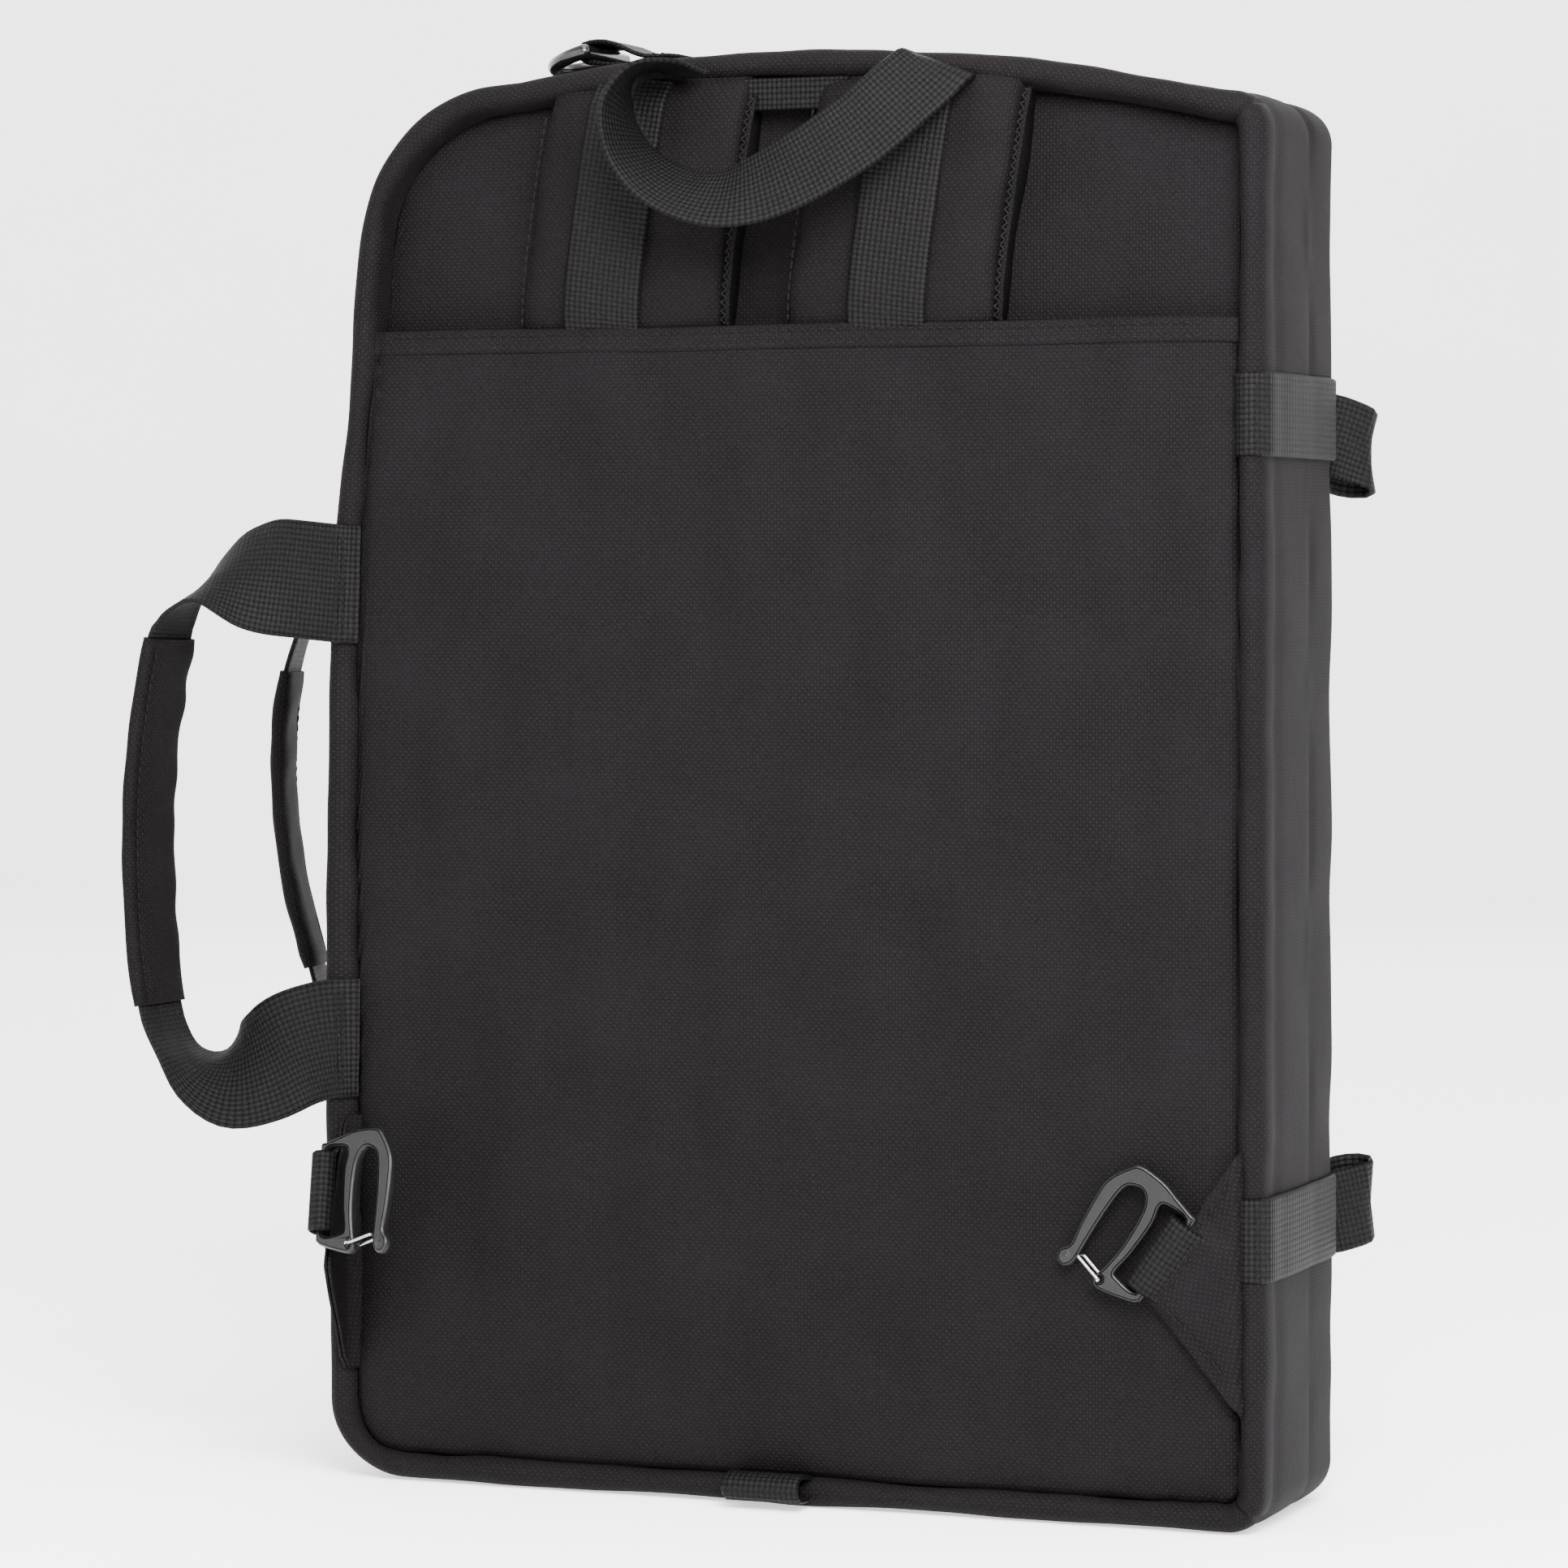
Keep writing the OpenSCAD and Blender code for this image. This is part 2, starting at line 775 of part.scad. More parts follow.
module left_hook_frame() {
    left_tab_frame() at_bar(left_bar_z, left_bar_tilt) rotate([0, 0, left_hook_turn])
        children();
}

module hook_tab_left() {
    color(cloth) left_tab_frame() tab();
}

module hook_webbing_left() {
    color(webbing) left_tab_frame() at_bar(left_bar_z, left_bar_tilt) hook_webbing();
}

module hook_left() {
    color(plastic) left_hook_frame() hook();
}

module gate_left() {
    color(steel) left_hook_frame() gate();
}

module hook_tab_right() {
    color(cloth) right_tab_frame() tab();
}

module hook_webbing_right() {
    color(webbing) right_tab_frame() at_bar(bar_z, bar_tilt) hook_webbing();
}

module hook_right() {
    color(plastic) right_tab_frame() at_bar(bar_z, bar_tilt) hook();
}

module gate_right() {
    color(steel) right_tab_frame() at_bar(bar_z, bar_tilt) gate();
}

// ---- side handles --------------------------------------------------------

grip_len = 117;
grip_w = 28;
grip_t = 7;
grip_web_w = 24;

// One webbing leg, flat at the fold, gathered and turned a quarter turn at the grip
module handle_leg(reach, side) {
    z = side * handle_pitch / 2;
    flat = reach * 0.45;
    translate([0, 0, z - handle_web_w / 2]) cylinder(r = web_t / 2, h = handle_web_w);
    block([-flat, -web_t / 2, z - handle_web_w / 2], [0, web_t / 2, z + handle_web_w / 2]);
    hull() {
        block([-flat - 1, -web_t / 2, z - handle_web_w / 2],
              [-flat, web_t / 2, z + handle_web_w / 2]);
        translate([-reach, 0, side * (grip_len / 2 + 2.2)])
            cube([web_t, grip_web_w, 2], center = true);
    }
}

// Handle webbing with its fold on the z axis, reaching towards -X
module handle_webbing(reach) {
    for (side = [-1, 1]) handle_leg(reach, side);
    translate([-reach, 0, 0]) cube([web_t, grip_web_w, grip_len + 5], center = true);
}

module handle_grip(reach) {
    translate([-reach, 0, 0]) difference() {
        cube([grip_t, grip_w, grip_len], center = true);
        cube([web_t, grip_web_w, grip_len + 1], center = true);
    }
}

module back_handle_frame() {
    translate([handle_fold_x, back_fold_y, handle_z]) children();
}

module front_handle_frame() {
    translate([handle_fold_x, front_fold_y, handle_z]) rotate([0, 0, front_handle_turn])
        children();
}

module back_handle_webbing() {
    color(webbing) back_handle_frame() handle_webbing(back_reach);
}

module back_handle_grip() {
    color(cloth) back_handle_frame() handle_grip(back_reach);
}

module front_handle_webbing() {
    color(webbing) front_handle_frame() handle_webbing(front_reach);
}

module front_handle_grip() {
    color(cloth) front_handle_frame() handle_grip(front_reach);
}

// ---- what is drawn -------------------------------------------------------

back_panel();
back_foam();
back_board();
back_lining();
gusset_lining();
zip_gusset_back();
base_gusset();
back_edge_roll();
stow_pocket_panel();
stow_pocket_hem();
strap_pad_left();
strap_pad_right();
strap_webbing_left();
strap_webbing_right();
strap_anchor_band();
strap_adjusters();
strap_tails();
top_ring_tab();
side_bands();
bottom_pull_tab();
back_handle_anchors();
zipper_tape_back();
zipper_coil_back();
sleeve_panel();
sleeve_strap();
front_panel();
front_foam();
front_lining();
zip_gusset_front();
front_edge_roll();
zipper_tape_front();
zipper_coil_front();
front_pocket();
pocket_zip_tapes();
pocket_zip_coil();
document_pocket();
front_handle_anchors();
front_loops();
top_ring();
grab_loop();
hook_tab_left();
hook_webbing_left();
hook_left();
gate_left();
hook_tab_right();
hook_webbing_right();
hook_right();
gate_right();
back_handle_webbing();
back_handle_grip();
front_handle_webbing();
front_handle_grip();
slider_upper();
puller_upper();
slider_lower();
puller_lower();
pocket_slider();
pocket_puller();
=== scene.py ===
"""Looks of the convertible portfolio case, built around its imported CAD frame.

Lengths here are millimetres in the frame's own axes, and MM turns them into
Blender's metres. +X is to the right seen from the worn side, -Y points towards the
worn side and +Z is up.
"""

import math

import bpy
import numpy as np
from mathutils import Matrix, Vector
from mathutils.geometry import tessellate_polygon


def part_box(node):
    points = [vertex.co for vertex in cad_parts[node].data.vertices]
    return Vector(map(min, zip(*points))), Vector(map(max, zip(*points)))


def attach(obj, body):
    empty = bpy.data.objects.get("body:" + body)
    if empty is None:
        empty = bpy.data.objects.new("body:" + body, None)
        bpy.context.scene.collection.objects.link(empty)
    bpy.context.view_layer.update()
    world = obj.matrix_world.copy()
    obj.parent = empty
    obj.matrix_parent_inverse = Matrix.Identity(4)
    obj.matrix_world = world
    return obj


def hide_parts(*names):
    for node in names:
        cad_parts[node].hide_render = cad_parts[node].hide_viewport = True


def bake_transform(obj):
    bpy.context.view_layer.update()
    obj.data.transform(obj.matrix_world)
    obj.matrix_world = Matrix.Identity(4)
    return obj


MM = 0.001
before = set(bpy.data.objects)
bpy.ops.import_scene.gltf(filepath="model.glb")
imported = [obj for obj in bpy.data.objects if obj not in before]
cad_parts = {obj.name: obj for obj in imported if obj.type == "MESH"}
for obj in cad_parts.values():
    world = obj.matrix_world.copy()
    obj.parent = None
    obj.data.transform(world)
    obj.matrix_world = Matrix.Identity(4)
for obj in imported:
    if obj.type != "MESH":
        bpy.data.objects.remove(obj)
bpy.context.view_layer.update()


# ---- driving sizes, from the frame where it holds them -----------------------


def box_mm(node):
    """Lowest and highest corner of a CAD node, in millimetres."""
    low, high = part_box(node)
    return np.array(low) / MM, np.array(high) / MM


ROLL_LOW, ROLL_HIGH = box_mm("back_edge_roll")
HALF_W = float(ROLL_HIGH[0])
CASE_H = float(ROLL_HIGH[2])
BACK_Y = float(ROLL_LOW[1])
FRONT_Y = float(box_mm("front_edge_roll")[1][1])
COVER_END = float(box_mm("front_edge_roll")[1][0])
HEM_LOW = float(box_mm("stow_pocket_hem")[0][2])
HEM_HIGH = float(box_mm("stow_pocket_hem")[1][2])
CROWN_DROP = 19.5
RADIUS_TOP_LEFT = 52.0
LEAN_Z = 275.0
SIDE_LEAN = math.radians(4.7)
RADIUS_BOTTOM_LEFT = 24.0
RADIUS_RIGHT = 12.0
SEAM_INSET = 8.6
WEB_T = 1.4
WEB_W = 25.0
HANDLE_WEB_W = 37.0


# ---- small maths ------------------------------------------------------------


def unit(vectors):
    vectors = np.asarray(vectors, float)
    return vectors / np.maximum(np.linalg.norm(vectors, axis=-1, keepdims=True), 1e-9)


def smoothstep(x, low, high):
    t = np.clip((np.asarray(x, float) - low) / (high - low), 0, 1)
    return t * t * (3 - 2 * t)


WAVE_COUNT = 7


def waves(u, v, length, seed):
    """Soft pseudo-random ripple of about unit height, from a few plane waves."""
    rng = np.random.default_rng(seed)
    total = 0.0
    for _ in range(WAVE_COUNT):
        heading, phase = rng.uniform(0, 2 * math.pi, 2)
        k = 2 * math.pi / (length * rng.uniform(0.7, 1.6))
        total = total + np.sin(k * (u * math.cos(heading) + v * math.sin(heading)) + phase)
    return total / math.sqrt(WAVE_COUNT)


def spline(points, steps, closed=False):
    """Catmull-Rom curve through rows of numbers, with `steps` pieces to each span."""
    p = np.array(points, float)
    if closed:
        p = np.vstack([p[-1:], p, p[:2]])
    else:
        p = np.vstack([2 * p[0] - p[1], p, 2 * p[-1] - p[-2]])
    rows = []
    for a, b, c, d in zip(p[:-3], p[1:-2], p[2:-1], p[3:]):
        for t in np.arange(steps) / steps:
            rows.append(
                0.5 * (2 * b + (c - a) * t + (2 * a - 5 * b + 4 * c - d) * t * t
                       + (3 * b - a - 3 * c + d) * t ** 3)
            )
    if not closed:
        rows.append(p[-2])
    return np.array(rows)


def lengths(path):
    """Distance along a path at each of its points."""
    steps = np.linalg.norm(np.diff(path[:, :3], axis=0), axis=1)
    return np.concatenate([[0], np.cumsum(steps)])


def resample(path, spacing):
    """The same path with even steps of about `spacing`."""
    s = lengths(path)
    count = max(2, int(round(s[-1] / spacing)) + 1)
    at = np.linspace(0, s[-1], count)
    return np.stack([np.interp(at, s, path[:, k]) for k in range(path.shape[1])], -1)


# ---- mesh making ------------------------------------------------------------


def add_object(name, vertices, faces, material, uv=None):
    mesh = bpy.data.meshes.new(name)
    mesh.from_pydata((np.asarray(vertices, float) * MM).tolist(), [], faces)
    if uv is not None:
        layer = mesh.uv_layers.new(name="weave")
        layer.data.foreach_set("uv", (np.asarray(uv, float) * MM).astype(np.float32).ravel())
    mesh.materials.append(material)
    mesh.polygons.foreach_set("use_smooth", [True] * len(mesh.polygons))
    obj = bpy.data.objects.new(name, mesh)
    bpy.context.scene.collection.objects.link(obj)
    return obj


def add_grid(name, grid, material, wrap_i=False, wrap_j=False, uv=None, keep=None,
             caps=False, flip=False):
    """Mesh of a grid of points. Its normals point along across x along, or against
    it with flip. keep says which faces stay."""
    n, m = grid.shape[:2]
    if uv is None:
        looped_i = np.concatenate([grid, grid[:1]]) if wrap_i else grid
        looped_j = np.concatenate([grid, grid[:, :1]], 1) if wrap_j else grid
        u = lengths(looped_i[:, m // 2])
        v = lengths(looped_j[n // 2])
        uv = np.stack(np.meshgrid(u, v, indexing="ij"), -1)
    i, j = np.meshgrid(
        np.arange(n if wrap_i else n - 1), np.arange(m if wrap_j else m - 1), indexing="ij"
    )
    if keep is not None:
        i, j = i[keep], j[keep]
    i, j = i.ravel(), j.ravel()
    corners = [(i, j), (i, j + 1), (i + 1, j + 1), (i + 1, j)]
    if flip:
        corners.reverse()
    faces = np.stack([(a % n) * m + b % m for a, b in corners], -1)
    loops = np.stack([uv[a, b] for a, b in corners], 1).reshape(-1, 2)
    faces = faces.tolist()
    if caps:
        first, last = list(range(m)), list(range((n - 1) * m, n * m))
        faces += [first if not flip else first[::-1], last[::-1] if not flip else last]
        loops = np.vstack([loops, np.zeros((2 * m, 2))])
    return add_object(name, grid.reshape(-1, 3), faces, material, loops)


def grid_normals(grid, wrap_i=False, flip=False):
    if wrap_i:
        along = np.roll(grid, -1, 0) - np.roll(grid, 1, 0)
    else:
        along = np.gradient(grid, axis=0)
    across = np.gradient(grid, axis=1)
    normals = unit(np.cross(across, along))
    return -normals if flip else normals


def settle(obj, slot, body, *nodes):
    """Says which CAD nodes a piece stands for, if any, and the body it rides. slot is not used."""
    if nodes:
        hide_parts(*nodes)
    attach(obj, body)
    return obj


def thicken(obj, thickness, offset=-1.0):
    solid = obj.modifiers.new("thickness", "SOLIDIFY")
    solid.thickness = thickness * MM
    solid.offset = offset
    return obj


def section_frames(path, across):
    """Width directions and face directions along a ribbon."""
    tangent = unit(np.gradient(path, axis=0))
    across = unit(across - tangent * np.sum(across * tangent, -1, keepdims=True))
    return across, np.cross(tangent, across)


def ribbon(name, stations, width, material, thickness=WEB_T, steps=8, spacing=2.5,
           crown=0.0, ripple=0.0, seed=1):
    """Flat band through rows of x, y, z and its width direction. Its weave map runs
    along u, and across v from -width/2 to width/2."""
    rows = resample(spline(stations, steps), spacing)
    path, across = rows[:, :3], rows[:, 3:6]
    shrink = rows[:, 6] / width if rows.shape[1] > 6 else np.ones(len(rows))
    across, face = section_frames(path, across)
    edge = min(0.45 * thickness, 1.2)
    a = np.linspace(-width / 2 + edge, width / 2 - edge, 13)
    lift = crown * (1 - (2 * a / width) ** 2)
    section = [(-width / 2, 0.0)]
    section += [(x, thickness / 2 + y) for x, y in zip(a, lift)]
    section += [(width / 2, 0.0)]
    section += [(x, -thickness / 2 - y) for x, y in zip(a[::-1], lift[::-1])]
    section = np.array(section)
    s = lengths(path)
    wave = ripple * waves(s[:, None], section[None, :, 0], 14.0, seed)
    grid = (
        path[:, None]
        + across[:, None] * section[None, :, :1] * shrink[:, None, None]
        + face[:, None] * (section[None, :, 1:] + wave[..., None])
    )
    v = np.append(section[:, 0], section[0, 0])
    uv = np.stack(np.meshgrid(s, v, indexing="ij"), -1)
    return add_grid(name, grid, material, wrap_j=True, uv=uv, caps=True, flip=True)


def tube(name, path, radius, material, sides, closed=False):
    """Round rod along a path."""
    path = np.asarray(path, float)
    if closed:
        tangent = unit(np.roll(path, -1, 0) - np.roll(path, 1, 0))
    else:
        tangent = unit(np.gradient(path, axis=0))
    side = unit(np.cross(tangent[0], (0.31, 0.17, 0.93)))
    rows = []
    for point, t in zip(path, tangent):
        side = unit(side - t * np.dot(side, t))
        other = np.cross(t, side)
        rows.append([
            point + radius * (side * math.cos(a) + other * math.sin(a))
            for a in np.arange(sides) * 2 * math.pi / sides
        ])
    return add_grid(name, np.array(rows), material, wrap_i=closed, wrap_j=True,
                    caps=not closed)


def ring_quads(base, rings, sides):
    """Faces between neighbouring rings of points, the first of which starts at base."""
    faces = []
    for r in range(rings - 1):
        low, high = base + r * sides, base + (r + 1) * sides
        for k in range(sides):
            after = (k + 1) % sides
            faces.append([low + k, low + after, high + after, high + k])
    return faces


STITCH_RINGS = [(-0.5, 0.35, -0.9), (-0.36, 1.0, -0.1), (0.0, 1.0, 0.2),
                (0.36, 1.0, -0.1), (0.5, 0.35, -0.9)]
STITCH_SIDES = 6


def stitches(name, rows, material, pitch=3.3, length=2.5, radius=0.32):
    """One mesh of thread stitches. rows holds paths with the outward direction."""
    vertices, faces = [], []
    angles = np.arange(STITCH_SIDES) * 2 * math.pi / STITCH_SIDES
    for path, outward in rows:
        path = np.asarray(path, float)
        s = lengths(path)
        outward = np.broadcast_to(np.asarray(outward, float), path.shape)
        for middle in np.arange(pitch / 2, s[-1] - pitch / 4, pitch):
            ends = [np.array([np.interp(middle + e * length, s, path[:, k])
                              for k in range(3)]) for e in (-0.5, 0.5)]
            up = unit(np.array([np.interp(middle, s, outward[:, k]) for k in range(3)]))
            t = unit(ends[1] - ends[0])
            up = unit(up - t * np.dot(up, t))
            side = np.cross(t, up)
            centre = (ends[0] + ends[1]) / 2
            base = len(vertices)
            for at, wide, rise in STITCH_RINGS:
                ring = centre + t * at * length + up * rise * radius
                for a in angles:
                    vertices.append(ring + radius * wide * (side * math.cos(a)
                                                            + up * math.sin(a)))
            count = len(STITCH_RINGS)
            faces += ring_quads(base, count, STITCH_SIDES)
            faces.append([base + k for k in range(STITCH_SIDES)][::-1])
            faces.append([base + (count - 1) * STITCH_SIDES + k for k in range(STITCH_SIDES)])
    return add_object(name, np.array(vertices), faces, material)


# ---- materials --------------------------------------------------------------


def new_material(name):
    material = bpy.data.materials.new(name)
    material.use_nodes = True
    tree = material.node_tree
    return material, tree, tree.nodes["Principled BSDF"]


def math_node(tree, operation, *inputs):
    node = tree.nodes.new("ShaderNodeMath")
    node.operation = operation
    for socket, value in zip(node.inputs, inputs):
        if isinstance(value, (int, float)):
            socket.default_value = value
        else:
            tree.links.new(value, socket)
    return node.outputs[0]


def weighted(tree, *terms):
    """Sum of values, each times its weight."""
    products = [math_node(tree, "MULTIPLY", value, weight) for value, weight in terms]
    total = products[0]
    for product in products[1:]:
        total = math_node(tree, "ADD", total, product)
    return total


def noise_node(tree, vector, scale, detail=2.0):
    node = tree.nodes.new("ShaderNodeTexNoise")
    node.inputs["Scale"].default_value = scale
    node.inputs["Detail"].default_value = detail
    node.inputs["Roughness"].default_value = 0.6
    tree.links.new(vector, node.inputs["Vector"])
    return node.outputs["Fac"]


def ramp_node(tree, factor, stops):
    node = tree.nodes.new("ShaderNodeValToRGB")
    ramp = node.color_ramp
    while len(ramp.elements) < len(stops):
        ramp.elements.new(0.5)
    for element, (at, colour) in zip(ramp.elements, stops):
        element.position = at
        element.color = (*colour, 1)
    tree.links.new(factor, node.inputs["Fac"])
    return node.outputs["Color"]


def tint(tree, shader, factor, stops):
    """Colours a shader by a factor."""
    tree.links.new(ramp_node(tree, factor, stops), shader.inputs["Base Color"])


def shades(colour, darker, lighter):
    return [(0.3, tuple(c * darker for c in colour)), (0.7, tuple(c * lighter for c in colour))]


def bump_node(tree, shader, height, strength, distance):
    node = tree.nodes.new("ShaderNodeBump")
    node.inputs["Strength"].default_value = strength
    node.inputs["Distance"].default_value = distance * MM
    tree.links.new(height, node.inputs["Height"])
    tree.links.new(node.outputs["Normal"], shader.inputs["Normal"])


def weave_coordinates(tree):
    """The weave map's u and v in millimetres, and the object's own coordinates."""
    uv = tree.nodes.new("ShaderNodeUVMap")
    uv.uv_map = "weave"
    split = tree.nodes.new("ShaderNodeSeparateXYZ")
    tree.links.new(uv.outputs["UV"], split.inputs[0])
    u = math_node(tree, "MULTIPLY", split.outputs[0], 1 / MM)
    v = math_node(tree, "MULTIPLY", split.outputs[1], 1 / MM)
    place = tree.nodes.new("ShaderNodeTexCoord").outputs["Object"]
    return u, v, place


def sine(tree, value, pitch):
    return math_node(tree, "SINE", math_node(tree, "MULTIPLY", value, 2 * math.pi / pitch))


def cloth_material(name, dark, light, pitch=1.0, bump=0.95, roughness=0.78):
    """Plain-woven cloth: crossing threads and uneven yarn. Its colour follows the weave's relief:
    painted highlight on the thread tops and painted shade between them, with random yarn and cloud
    tone.
    """
    material, tree, shader = new_material(name)
    u, v, place = weave_coordinates(tree)
    warp, weft = sine(tree, u, 2 * pitch), sine(tree, v, 2 * pitch)
    checks = math_node(tree, "MULTIPLY", warp, weft)
    threads = math_node(tree, "ABSOLUTE", checks)
    yarn = noise_node(tree, place, 900.0)
    cloud = noise_node(tree, place, 26.0, 3.0)
    relief_and_painted_shade = weighted(tree, (checks, 0.28), (threads, 0.5), (yarn, 0.45))
    # painted highlight and shade: lighter on the thread tops, darker in the gaps between threads;
    # the yarn and cloud noise is random tone
    tint(tree, shader, weighted(tree, (relief_and_painted_shade, 0.7), (cloud, 0.3)), [(0.18, dark), (0.8, light)])
    shader.inputs["Roughness"].default_value = roughness
    shader.inputs["Specular IOR Level"].default_value = 0.07
    bump_node(tree, shader, relief_and_painted_shade, bump, 0.22)
    return material


WEBBING_RIB = 1.55
WEBBING_CORD = 1.75


def webbing_material(name, dark, light):
    """Ribbed strap webbing: fine cross ribs and stronger lengthwise cords. Its colour follows
    their height: painted highlight on the crests and painted shade in the gaps, with random yarn
    and cloud tone.
    """
    material, tree, shader = new_material(name)
    u, v, place = weave_coordinates(tree)
    along, across = sine(tree, u, 2 * WEBBING_RIB), sine(tree, v, 2 * WEBBING_CORD)
    ribs = math_node(tree, "ABSOLUTE", along)
    cords = math_node(tree, "ABSOLUTE", across)
    brick = math_node(tree, "MULTIPLY", along, across)
    yarn = noise_node(tree, place, 1100.0)
    cloud = noise_node(tree, place, 40.0)
    height = weighted(tree, (ribs, 0.4), (cords, 0.46), (brick, 0.05))
    relief_and_painted_shade = weighted(tree, (height, 0.75), (yarn, 0.3))
    # painted highlight and shade: lighter on the rib and cord crests, darker in the gaps between
    # them; the yarn and cloud noise is random tone
    tint(tree, shader, weighted(tree, (relief_and_painted_shade, 1.0), (cloud, 0.12)), [(0.34, dark), (0.86, light)])
    shader.inputs["Roughness"].default_value = 0.6
    shader.inputs["Specular IOR Level"].default_value = 0.06
    bump_node(tree, shader, relief_and_painted_shade, 1.0, 0.6)
    return material


def uneven_roughness(tree, shader, factor, roughness, spread):
    """Roughness that wanders by a factor about its middle value."""
    wander = math_node(tree, "MULTIPLY", factor, spread)
    tree.links.new(math_node(tree, "ADD", wander, roughness), shader.inputs["Roughness"])


def moulded_material(name, colour, roughness, grain, grain_bump, coat=0.0, specular=0.3):
    """Moulded plastic with a spark-eroded or polished skin."""
    material, tree, shader = new_material(name)
    shader.inputs["Specular IOR Level"].default_value = specular
    place = tree.nodes.new("ShaderNodeTexCoord").outputs["Object"]
    fine = noise_node(tree, place, grain)
    tint(tree, shader, noise_node(tree, place, 60.0), shades(colour, 0.8, 1.25))
    uneven_roughness(tree, shader, fine, roughness - 0.08, 0.16)
    shader.inputs["Coat Weight"].default_value = coat
    shader.inputs["Coat Roughness"].default_value = 0.12
    bump_node(tree, shader, fine, grain_bump, 0.12)
    return material


def metal_material(name, colour, roughness):
    """Drawn or cast metal with faint scratches."""
    material, tree, shader = new_material(name)
    place = tree.nodes.new("ShaderNodeTexCoord").outputs["Object"]
    fine = noise_node(tree, place, 700.0, 4.0)
    tint(tree, shader, fine, shades(colour, 0.85, 1.1))
    shader.inputs["Metallic"].default_value = 1.0
    uneven_roughness(tree, shader, fine, roughness - 0.07, 0.15)
    bump_node(tree, shader, fine, 0.15, 0.05)
    return material


# The darker colour of each cloth and of the webbing is painted shade in the weave's gaps, the
# lighter one painted highlight on its thread tops, mixed with random tone.
CLOTH = cloth_material("shell_cloth", (0.0002, 0.0001, 0.0002), (0.0062, 0.0046, 0.0056))
PAD_CLOTH = cloth_material("pad_cloth", (0.0002, 0.0001, 0.0002), (0.0054, 0.004, 0.0048))
LINING = cloth_material("lining_cloth", (0.045, 0.045, 0.05), (0.11, 0.11, 0.118),
                        pitch=0.4, bump=0.3, roughness=0.7)
WEBBING = webbing_material("strap_webbing", (0.0001, 0.0001, 0.0001), (0.0056, 0.005, 0.0053))
TAPE = cloth_material("zip_tape", (0.005, 0.005, 0.0055), (0.02, 0.02, 0.021),
                      pitch=0.45, bump=0.4, roughness=0.75)
THREAD = cloth_material("sewing_thread", (0.002, 0.0017, 0.002), (0.0095, 0.0082, 0.0092),
                        pitch=0.3, roughness=0.55)
HOOK_PLASTIC = moulded_material("hook_plastic", (0.003, 0.003, 0.0031), 0.4, 1500.0, 0.5,
                                specular=0.25)
RING_PLASTIC = moulded_material("ring_plastic", (0.003, 0.003, 0.0034), 0.18, 900.0, 0.04, 0.15,
                                specular=0.4)
COIL_PLASTIC = moulded_material("coil_plastic", (0.01, 0.01, 0.011), 0.35, 900.0, 0.1)
SLIDER_METAL = metal_material("slider_metal", (0.06, 0.06, 0.065), 0.35)
GATE_STEEL = metal_material("gate_steel", (0.36, 0.34, 0.32), 0.28)


# ---- the case's outline -----------------------------------------------------


def crown(x):
    return CASE_H - CROWN_DROP * (x / HALF_W) ** 2


def arc(x, z, radius, start, end, step):
    count = max(2, int(abs(math.radians(end - start)) * radius / step) + 1)
    angle = np.radians(np.linspace(start, end, count))
    return np.c_[x + radius * np.cos(angle), z + radius * np.sin(angle)]


RUN_STEP = 3.2


def run(x0, z0, x1, z1):
    """Points along a straight stretch, without its ends."""
    count = max(2, int(math.hypot(x1 - x0, z1 - z0) / RUN_STEP))
    t = np.linspace(0, 1, count + 1)[1:-1]
    return np.c_[x0 + (x1 - x0) * t, z0 + (z1 - z0) * t]


def outline():
    """Stations round the case, anticlockwise from the zip's lower end, and how many
    of them belong to the side gusset."""
    xr = HALF_W - RADIUS_RIGHT
    xb = -HALF_W + RADIUS_BOTTOM_LEFT
    zr = crown(xr) - RADIUS_RIGHT
    tangent_z = (crown(-HALF_W + 1.2 * RADIUS_TOP_LEFT) - RADIUS_TOP_LEFT
                 + RADIUS_TOP_LEFT * math.sin(SIDE_LEAN))
    tangent_x = -HALF_W + (tangent_z - LEAN_Z) * math.tan(SIDE_LEAN)
    xt = tangent_x + RADIUS_TOP_LEFT * math.cos(SIDE_LEAN)
    zt = crown(xt) - RADIUS_TOP_LEFT
    side = [
        arc(xr, RADIUS_RIGHT, RADIUS_RIGHT, -90, 0, 0.8),
        run(HALF_W, RADIUS_RIGHT, HALF_W, zr),
        arc(xr, zr, RADIUS_RIGHT, 0, 78, 0.8),
    ]
    top_x = np.linspace(xr, xt, 78)[1:-1]
    rest = [
        np.c_[top_x, crown(top_x)],
        arc(xt, zt, RADIUS_TOP_LEFT, 98, 180 - math.degrees(SIDE_LEAN), 2.5),
        run(tangent_x, tangent_z, -HALF_W, LEAN_Z),
        np.array([(-HALF_W, LEAN_Z)]),
        run(-HALF_W, LEAN_Z, -HALF_W, RADIUS_BOTTOM_LEFT),
        arc(xb, RADIUS_BOTTOM_LEFT, RADIUS_BOTTOM_LEFT, 180, 270, 2.0),
        run(xb, 0, xr, 0),
    ]
    return np.vstack(side + rest), sum(len(s) for s in side)


STATIONS, SIDE_COUNT = outline()
_turn = unit(np.roll(STATIONS, -1, 0) - np.roll(STATIONS, 1, 0))
INWARD = np.c_[-_turn[:, 1], _turn[:, 0]]
ALONG = np.concatenate([[0], np.cumsum(np.linalg.norm(np.diff(STATIONS, axis=0), axis=1))])
# zipped stretch, from the zip's upper end to its lower end
ZIPPED = np.append(np.arange(SIDE_COUNT - 1, len(STATIONS)), 0)


